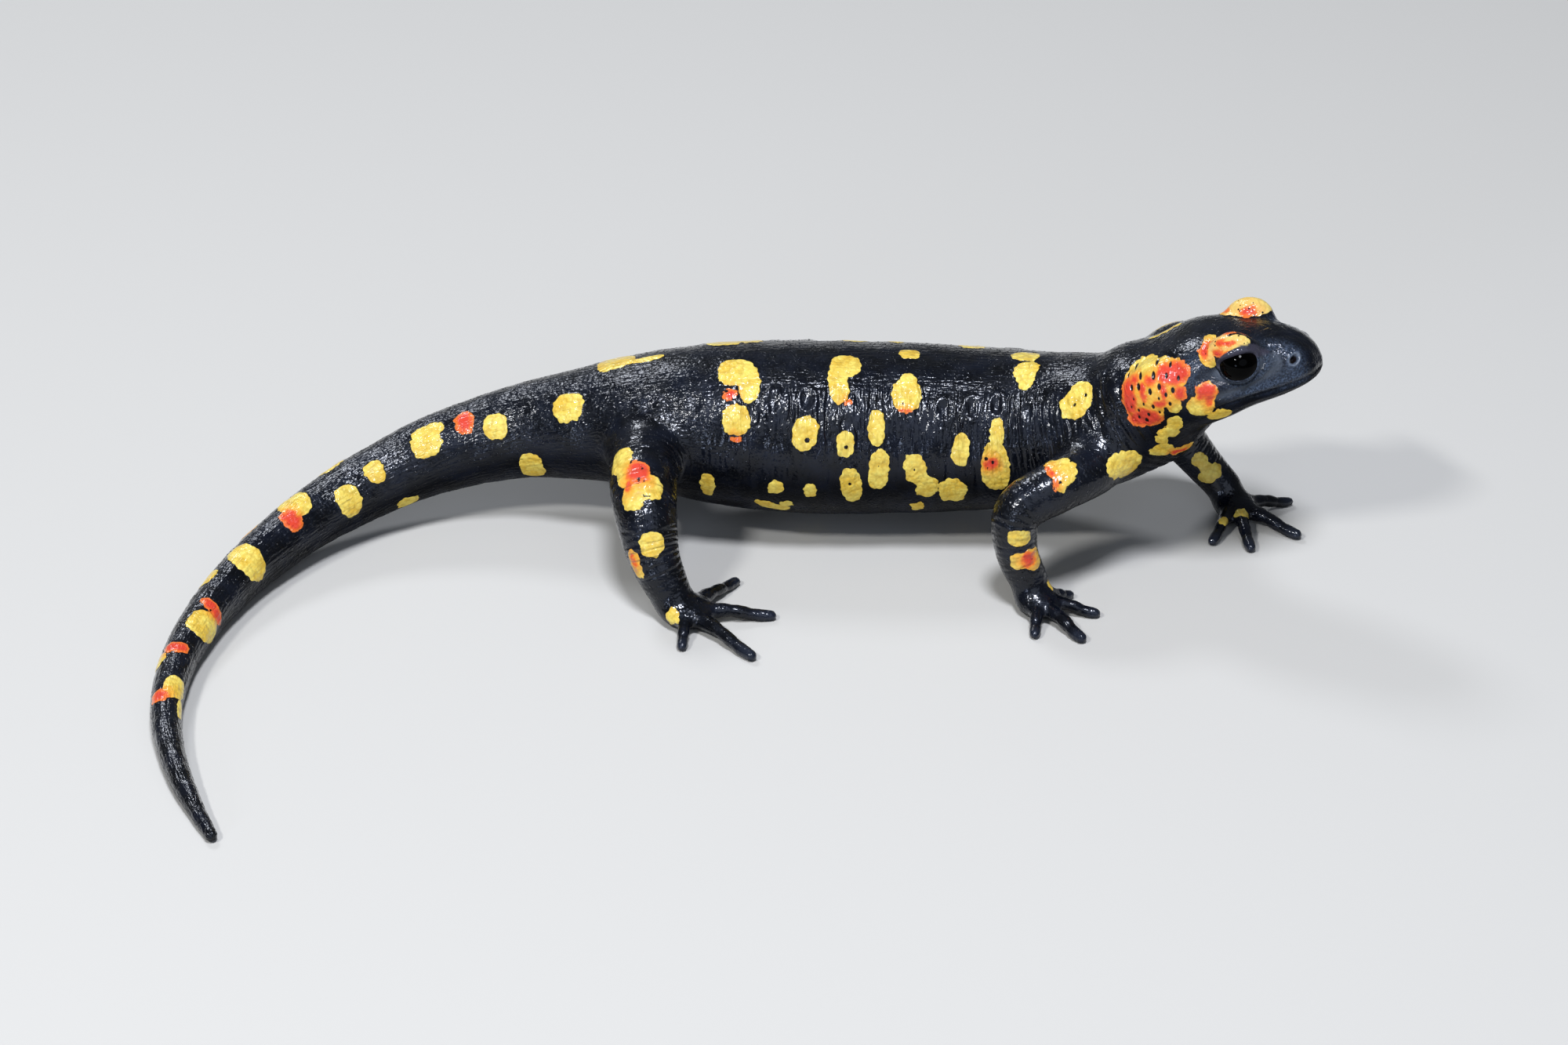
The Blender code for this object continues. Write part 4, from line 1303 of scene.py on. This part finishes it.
def paintSkin(tree, field, cloud, cells):
    # the skin's colour; also where it is yellow, and the low knobs of the marks
    # scalloped edges: each cell of skin takes one colour or the other
    lobes = addNode(tree, maths, timesPlus, {0: cells["scallop"], 1: -0.5, 2: 0.21})
    wander = addNode(tree, maths, timesPlus, {0: cloud["edge"], 1: 0.35, 2: -0.175})
    uneven = addNode(tree, maths, plus, {0: lobes, 1: wander})
    yellowPlace = addNode(tree, maths, plus, {0: field["yellow"], 1: uneven})
    isYellow = addNode(tree, spread, softly, {"Value": yellowPlace, "From Min": -0.04, "From Max": 0.04})
    # red runs into yellow through orange, in streaks, and ends hard against black
    smear = addNode(tree, maths, timesPlus, {0: cloud["smear"], 1: 1.5, 2: -0.75})
    uneven = addNode(tree, maths, timesPlus, {0: lobes, 1: 0.5, 2: smear})
    redPlace = addNode(tree, maths, plus, {0: field["red"], 1: uneven})
    onBlack = addNode(tree, spread, softly, {"Value": redPlace, "From Min": -0.06, "From Max": 0.08})
    onYellow = addNode(tree, spread, softly, {"Value": redPlace, "From Min": -0.2, "From Max": 0.28})
    isRed = addNode(tree, mix, None, {0: isYellow, 2: onBlack, 3: onYellow})
    redShare = addNode(tree, spread, softly, {"Value": redPlace, "From Min": 0.0, "From Max": 0.8})
    amberShare = addNode(tree, spread, softly, {
        "Value": redPlace, "From Min": -1.4, "From Max": -0.1, "To Max": 0.9})
    # the fill runs from lemon to yolk, in small grains, between low knobs, with painted shade in the
    # crevices between the knobs
    grains = addNode(tree, spread, softly, {
        "Value": cells["grains"], "From Min": 0.2, "From Max": 0.7, "To Max": 0.35})
    fill = addNode(tree, spread, softly, {
        "Value": cloud["fill"], "From Min": 0.35, "From Max": 0.7, "To Max": 0.7})
    yolkShare = addNode(tree, maths, plus, {0: fill, 1: grains})
    knobs = addNode(tree, maths, minus, {0: 1.0, 1: cells["knobs"]})
    creviceShadeShare = addNode(tree, spread, softly, {
        "Value": knobs, "From Min": 0.55, "From Max": 0.2, "To Max": 0.4})
    creamShare = addNode(tree, maths, times, {0: field["specked"], 1: 0.45})
    # the black turns bluer in clouds and grey on the toes; a painted sheen, lighter blue-grey in fine veins,
    # lies on the side of the snout
    blueShare = addNode(tree, spread, softly, {
        "Value": cloud["blueBlack"], "From Min": 0.35, "From Max": 0.7})
    toeShare = addNode(tree, maths, times, {0: field["tip"], 1: 0.6})
    veins = addNode(tree, spread, softly, {
        "Value": cloud["veins"], "From Min": 0.42, "From Max": 0.62, "To Min": 0.25})
    veinedSheenShare = addNode(tree, maths, times, {0: field["snout"], 1: veins})
    specks = addNode(tree, spread, softly, {"Value": cells["specks"], "From Min": 0.2, "From Max": 0.15})
    speckShare = addNode(tree, maths, times, {0: specks, 1: field["specked"]})
    # the pores' dark, and the painted shade inside each nostril
    poreAndNostrilShade = addNode(tree, spread, softly, {"Value": field["dark"], "From Min": -0.05, "From Max": 0.05})
    layers = {
        "yellowMark": ("lemon", (yolkShare, "yolk"), (amberShare, "amber"), (creviceShadeShare, "creviceShade"),
                       (creamShare, "cream")),
        "redMark": ("orange", (redShare, "red")),
        "skin": ("black", (blueShare, "blueBlack"), (toeShare, "toeGrey"), (veinedSheenShare, "snoutSheen"),
                 (field["rim"], "rimHighlight"), (isYellow, "yellowMark"), (isRed, "redMark"),
                 (speckShare, "pore"), (poreAndNostrilShade, "pore"), (field["shade"], "lidGrey")),
    }
    mixed = {}
    for name, (base, *coats) in layers.items():
        colour = srgb(skinLook[base])
        for share, over in coats:
            over = mixed[over] if over in mixed else srgb(skinLook[over])
            colour = addNode(tree, mix, rgba, {0: share, 6: colour, 7: over}).outputs[2]
        mixed[name] = colour
    return mixed["skin"], isYellow, knobs


def raiseSkin(tree, place, field, cloud, isYellow, knobs):
    # the skin's relief, finer than its mesh
    # granules in patches
    coarse = addNode(tree, "ShaderNodeTexVoronoi", {"feature": "SMOOTH_F1"},
                     {"Vector": place, "Scale": 1 / (skinLook["granule"] * mm), "Smoothness": 0.3})
    mounds = addNode(tree, maths, minus, {0: 1.0, 1: coarse})
    patches = addNode(tree, spread, softly, {
        "Value": cloud["granules"], "From Min": 0.35, "From Max": 0.65, "To Min": 0.3})
    # creases across the body and limbs: noise drawn out along each crease, and a ripple
    parts = addNode(tree, "ShaderNodeSeparateXYZ", None, {0: place})
    drawn = addNode(tree, "ShaderNodeCombineXYZ", None, {
        0: addNode(tree, maths, times, {0: field["alongBody"], 1: 1 / (skinLook["creaseSpacing"] * 1.4)}),
        1: addNode(tree, maths, times, {0: parts.outputs[1], 1: skinLook["creaseTurns"]}),
        2: addNode(tree, maths, times, {0: parts.outputs[2], 1: skinLook["creaseTurns"]}),
    })
    creases = addNode(tree, "ShaderNodeTexNoise", None,
                      {"Vector": drawn, "Scale": 1.0, "Detail": 1.0, "Distortion": 0.2})
    beside = addNode(tree, maths, minus, {0: creases, 1: 0.5})
    apart = addNode(tree, maths, {"operation": "ABSOLUTE"}, {0: beside})
    valleys = addNode(tree, spread, softly, {
        "Value": apart, "From Min": 0.0, "From Max": 0.16, "To Max": 0.65})
    bent = addNode(tree, maths, times, {0: creases, 1: 1.6})
    turns = addNode(tree, maths, timesPlus, {
        0: field["alongBody"], 1: 1 / skinLook["creaseSpacing"], 2: bent})
    turned = addNode(tree, maths, times, {0: turns, 1: math.tau})
    ripple = addNode(tree, maths, {"operation": "SINE"}, {0: turned})
    folded = addNode(tree, maths, timesPlus, {0: ripple, 1: 0.22, 2: valleys})
    # low ridges along the tail, hips and back
    long, wide = skinLook["streak"]
    lengthways = addNode(tree, "ShaderNodeCombineXYZ", None, {
        0: addNode(tree, maths, times, {0: field["alongBody"], 1: 1 / long}),
        1: addNode(tree, maths, times, {0: field["beside"], 1: 1 / wide}),
        2: addNode(tree, maths, times, {0: field["above"], 1: 1 / wide}),
    })
    ridges = addNode(tree, "ShaderNodeTexNoise", None, {"Vector": lengthways, "Scale": 1.0, "Detail": 2.0})
    pebbles = addNode(tree, maths, plus, {0: field["pebbled"], 1: 0.7})
    heights = {
        "granules": (mounds, patches), "creases": (folded, field["wrinkle"]),
        "streaks": (ridges, field["streaked"]), "knobs": (knobs, isYellow),
        "grain": (cloud["grain"], pebbles),
    }
    below = {}
    for name, (strength, depth) in skinLook["relief"].items():
        high, share = heights[name]
        height = addNode(tree, maths, times, {0: high, 1: share})
        relief = addNode(tree, "ShaderNodeBump", None, {
            "Strength": strength, "Distance": depth * mm, "Height": height, **below})
        below = {"Normal": relief}
    return relief


def makeSkinMaterial():
    # moist amphibian skin: blue-black, granular, with a thin wet film that breaks the light into sparkles
    material, tree = blankMaterial("moist fire salamander skin")
    place, field, cloud, cells = readSkin(tree)
    colour, isYellow, knobs = paintSkin(tree, field, cloud, cells)
    relief = raiseSkin(tree, place, field, cloud, isYellow, knobs)
    # the black is shinier than the marks, and the wet film comes and goes
    whole, gone = skinLook["roughness"]
    wet = addNode(tree, spread, softly, {
        "Value": cloud["wet"], "From Min": 0.35, "From Max": 0.65, "To Min": whole, "To Max": gone})
    rough = addNode(tree, maths, timesPlus, {0: isYellow, 1: skinLook["markRoughness"], 2: wet})
    gloss, film = (addNode(tree, maths, timesPlus, {0: field["under"], 1: less, 2: most})
                   for most, less in (skinLook["gloss"], skinLook["film"]))
    shader = addNode(tree, "ShaderNodeBsdfPrincipled", None, {
        "Base Color": colour, "Roughness": rough, "Normal": relief, "Coat Normal": relief,
        "IOR": skinLook["ior"], "Specular Tint": srgb(skinLook["sheen"]), "Specular IOR Level": gloss,
        "Coat Weight": film, "Coat Roughness": skinLook["filmRoughness"], "Coat IOR": skinLook["filmIor"],
    })
    addNode(tree, "ShaderNodeOutputMaterial", None, {"Surface": shader})
    return material


eyeLook = {
    "pupil": "#010101",
    "iris": "#040303",
    "fleck": "#0B0705",
    # outwards from the pupil, in right angles from the gaze: how much of the iris shows
    "rings": ((0.40, 0.0), (0.47, 0.35), (0.66, 0.2), (0.74, 0.0)),
    "roughness": 0.03,
    "ior": 1.13,
}


def makeEyeMaterial():
    # a clear wet cornea over a nearly black iris: one hard, clean highlight
    material, tree = blankMaterial("glossy dark salamander eye")
    away = addNode(tree, "ShaderNodeAttribute", {"attribute_name": "fromGaze"}).outputs["Fac"]
    place = addNode(tree, "ShaderNodeTexCoord").outputs["Object"]
    flecks = addNode(tree, "ShaderNodeTexNoise", None, {"Vector": place, "Scale": 4200.0, "Detail": 3.0})
    iris = addNode(tree, mix, rgba, {
        0: flecks, 6: srgb(eyeLook["iris"]), 7: srgb(eyeLook["fleck"])}).outputs[2]
    rings = addNode(tree, "ShaderNodeValToRGB", None, {"Fac": away})
    stops = rings.color_ramp.elements
    for i, (reach, share) in enumerate(eyeLook["rings"]):
        stop = stops[i] if i < 2 else stops.new(reach)
        stop.position, stop.color = reach, (share, share, share, 1)
    colour = addNode(tree, mix, rgba, {0: rings, 6: srgb(eyeLook["pupil"]), 7: iris}).outputs[2]
    shader = addNode(tree, "ShaderNodeBsdfPrincipled", None, {
        "Base Color": colour, "Roughness": eyeLook["roughness"], "IOR": eyeLook["ior"],
    })
    addNode(tree, "ShaderNodeOutputMaterial", None, {"Surface": shader})
    return material


def makeEye(side, flip, material):
    # a ball with a slightly bulging cornea, its pole on the gaze
    rings, sides = 40, 64
    ahead, over, gaze = eyeAxes(flip)
    middle = np.array(eyeShape["middle"]) * (1, flip, 1)
    mesh = bmesh.new()
    angles = np.linspace(0, math.pi, rings + 1)[1:-1]
    turn = np.linspace(0, math.tau, sides, endpoint=False)
    away = [0.0]
    points = [gaze * eyeShape["radius"] * (1 + eyeShape["cornea"])]
    for angle in angles:
        radius = eyeShape["radius"] * (1 + eyeShape["cornea"] * math.exp(-(angle / 0.6) ** 2))
        around = np.outer(np.cos(turn), ahead) + np.outer(np.sin(turn), over)
        points += list((around * math.sin(angle) + gaze * math.cos(angle)) * radius)
        away += [angle / (math.pi / 2)] * sides
    points.append(-gaze * eyeShape["radius"])
    away.append(2.0)
    verts = [mesh.verts.new(point) for point in points]
    for i in range(sides):
        j = (i + 1) % sides
        mesh.faces.new((verts[0], verts[1 + i], verts[1 + j]))
        mesh.faces.new((verts[-1], verts[-1 - sides + j], verts[-1 - sides + i]))
        for ring in range(rings - 2):
            one, two = 1 + ring * sides, 1 + (ring + 1) * sides
            mesh.faces.new((verts[one + i], verts[two + i], verts[two + j], verts[one + j]))
    bmesh.ops.recalc_face_normals(mesh, faces=mesh.faces)
    placed = fromHead(np.array(points) + middle)
    piece = finishMesh(f"eyeball_{side}", mesh, placed, material, {"fromGaze": away})
    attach(piece, "root")
    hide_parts(f"eye_{side}")
    return piece


granuleLook = {
    "perSquareMetre": 1500000.0,
    "radius": 0.16,  # millimetres, of the whole lens; half of it lies under the skin
    "height": 0.055,
    "spread": 0.45,  # how much the sizes differ
}


def makeGranuleTree():
    # scatters low domes over a skin: more where its "granular" attribute is higher
    tree = bpy.data.node_groups.new("skin granules", "GeometryNodeTree")
    sockets = tree.interface
    sockets.new_socket("Skin", in_out="INPUT", socket_type="NodeSocketGeometry")
    for name in ("Density", "Radius", "Height", "Spread"):
        sockets.new_socket(name, in_out="INPUT", socket_type="NodeSocketFloat")
    sockets.new_socket("Seed", in_out="INPUT", socket_type="NodeSocketInt")
    sockets.new_socket("Material", in_out="INPUT", socket_type="NodeSocketMaterial")
    sockets.new_socket("Granules", in_out="OUTPUT", socket_type="NodeSocketGeometry")
    given = addNode(tree, "NodeGroupInput").outputs
    share = addNode(tree, "GeometryNodeInputNamedAttribute", {"data_type": "FLOAT"}, {"Name": "granular"})
    density = addNode(tree, maths, times, {0: given["Density"], 1: share})
    points = addNode(tree, "GeometryNodeDistributePointsOnFaces", {"distribute_method": "RANDOM"},
                     {"Mesh": given["Skin"], "Density": density, "Seed": given["Seed"]})
    lowest = addNode(tree, maths, minus, {0: 1.0, 1: given["Spread"]})
    highest = addNode(tree, maths, plus, {0: 1.0, 1: given["Spread"]})
    chance = addNode(tree, "FunctionNodeRandomValue", {"data_type": "FLOAT"},
                     {2: lowest, 3: highest, "Seed": given["Seed"]}).outputs[1]
    wide = addNode(tree, maths, times, {0: given["Radius"], 1: chance})
    high = addNode(tree, maths, times, {0: given["Height"], 1: chance})
    size = addNode(tree, "ShaderNodeCombineXYZ", None, {0: wide, 1: wide, 2: high})
    dome = addNode(tree, "GeometryNodeMeshIcoSphere", None, {"Radius": 1.0, "Subdivisions": 1})
    sunk = addNode(tree, "GeometryNodeTransform", None,
                   {"Geometry": dome, "Translation": (0.0, 0.0, -0.5)})
    placed = addNode(tree, "GeometryNodeInstanceOnPoints", None, {
        "Points": points, "Instance": sunk, "Rotation": points.outputs["Rotation"], "Scale": size})
    real = addNode(tree, "GeometryNodeRealizeInstances", None, {"Geometry": placed})
    soft = addNode(tree, "GeometryNodeSetShadeSmooth", None, {"Geometry": real})
    painted = addNode(tree, "GeometryNodeSetMaterial", None,
                      {"Geometry": soft, "Material": given["Material"]})
    addNode(tree, "NodeGroupOutput", None, {"Granules": painted})
    return tree


def makeGranules(skin, material):
    # the domes as a plain mesh of their own, lying in the skin and painted with it
    piece = addObject("skin_granules", skin.data.copy())
    modifier = piece.modifiers.new("granules", "NODES")
    modifier.node_group = makeGranuleTree()
    values = {
        "Density": granuleLook["perSquareMetre"], "Radius": granuleLook["radius"] * mm,
        "Height": granuleLook["height"] * mm, "Spread": granuleLook["spread"],
        "Seed": seed, "Material": material,
    }
    for socket in modifier.node_group.interface.items_tree:
        if socket.in_out == "INPUT" and socket.name in values:
            modifier[socket.identifier] = values[socket.name]
    graph = bpy.context.evaluated_depsgraph_get()
    domes = bpy.data.meshes.new_from_object(piece.evaluated_get(graph))
    piece.modifiers.clear()
    piece.data = domes
    domes.name = "skin_granules"
    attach(piece, "root")
    return piece


skinMaterial = makeSkinMaterial()
skinMesh = makeRoughSkin()
skinPoints, skinFields = sculptSkin(skinMesh, refineSkin(skinMesh))
skin = finishMesh("skin", skinMesh, skinPoints, skinMaterial, skinFields)
fleshNodes = [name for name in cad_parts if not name.startswith("eye_")]
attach(skin, "root")
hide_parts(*fleshNodes)
triangles = sum(len(face.vertices) - 2 for face in skin.data.polygons)
report(f"skin finished, {triangles} triangles")
granules = makeGranules(skin, skinMaterial)
report(f"skin granules scattered, {len(granules.data.polygons)} triangles")

eyeMaterial = makeEyeMaterial()
for side, flip in (("left", 1), ("right", -1)):
    makeEye(side, flip, eyeMaterial)
report("eyes set in their lids")

stageLook = {
    "floor": "#BDBCB8",
    "world": "#E6ECF4",
    "worldStrength": 0.12,
    # place from the origin in metres, width and height, power in watts, colour
    "lights": {
        "overhead": ((0.04, -0.30, 0.85), (0.20, 0.20), 7.6, "#F3F6FF"),
        "behind": ((-0.30, 0.50, 0.60), (0.20, 0.20), 2.0, "#F3F7FF"),
        "fill": ((0.30, -0.80, 0.55), (0.90, 0.70), 1.5, "#E2ECFF"),
        "side": ((-0.50, -1.00, 0.24), (0.26, 0.20), 1.5, "#D4E2FF"),
        "sparkle": ((-0.40, -0.43, 0.64), (0.16, 0.05), 3.5, "#FFFFFF"),
    },
}
cameraLook = {"lens": 90.0, "sensor": 36.0, "pitch": -31.0, "place": (0.0, -460.095, 275.577)}


def makeFloor():
    mesh = bmesh.new()
    bmesh.ops.create_grid(mesh, x_segments=1, y_segments=1, size=4.0)
    data = bpy.data.meshes.new("floor")
    mesh.to_mesh(data)
    mesh.free()
    floor = addObject("floor", data)
    # matt pale paper: no texture of its own
    material = bpy.data.materials.new("pale studio paper")
    material.use_nodes = True
    shader = material.node_tree.nodes["Principled BSDF"]
    shader.inputs["Base Color"].default_value = srgb(stageLook["floor"])
    shader.inputs["Roughness"].default_value = 0.8
    data.materials.append(material)


def makeLights():
    for name, (place, size, power, colour) in stageLook["lights"].items():
        data = bpy.data.lights.new(name, "AREA")
        data.shape = "ELLIPSE"
        data.size, data.size_y = size
        data.energy = power
        data.color = srgb(colour)[:3]
        light = addObject(name, data)
        light.location = place
        light.rotation_euler = (-Vector(place)).to_track_quat("-Z", "Y").to_euler()
    # true colours: no film curve over the yellow and red
    bpy.context.scene.view_settings.view_transform = "Standard"
    world = bpy.data.worlds.new("studio")
    bpy.context.scene.world = world
    world.use_nodes = True
    background = world.node_tree.nodes["Background"]
    background.inputs["Color"].default_value = srgb(stageLook["world"])
    background.inputs["Strength"].default_value = stageLook["worldStrength"]


def makeCamera():
    data = bpy.data.cameras.new("camera")
    data.lens = cameraLook["lens"]
    data.sensor_width = cameraLook["sensor"]
    data.clip_start = 0.01
    camera = addObject("camera", data)
    camera.location = toRow(np.array(cameraLook["place"]))
    camera.rotation_euler = (math.radians(90 + cameraLook["pitch"]), 0, 0)
    bpy.context.scene.camera = camera


makeFloor()
makeLights()
makeCamera()
report("floor, lights and camera placed")
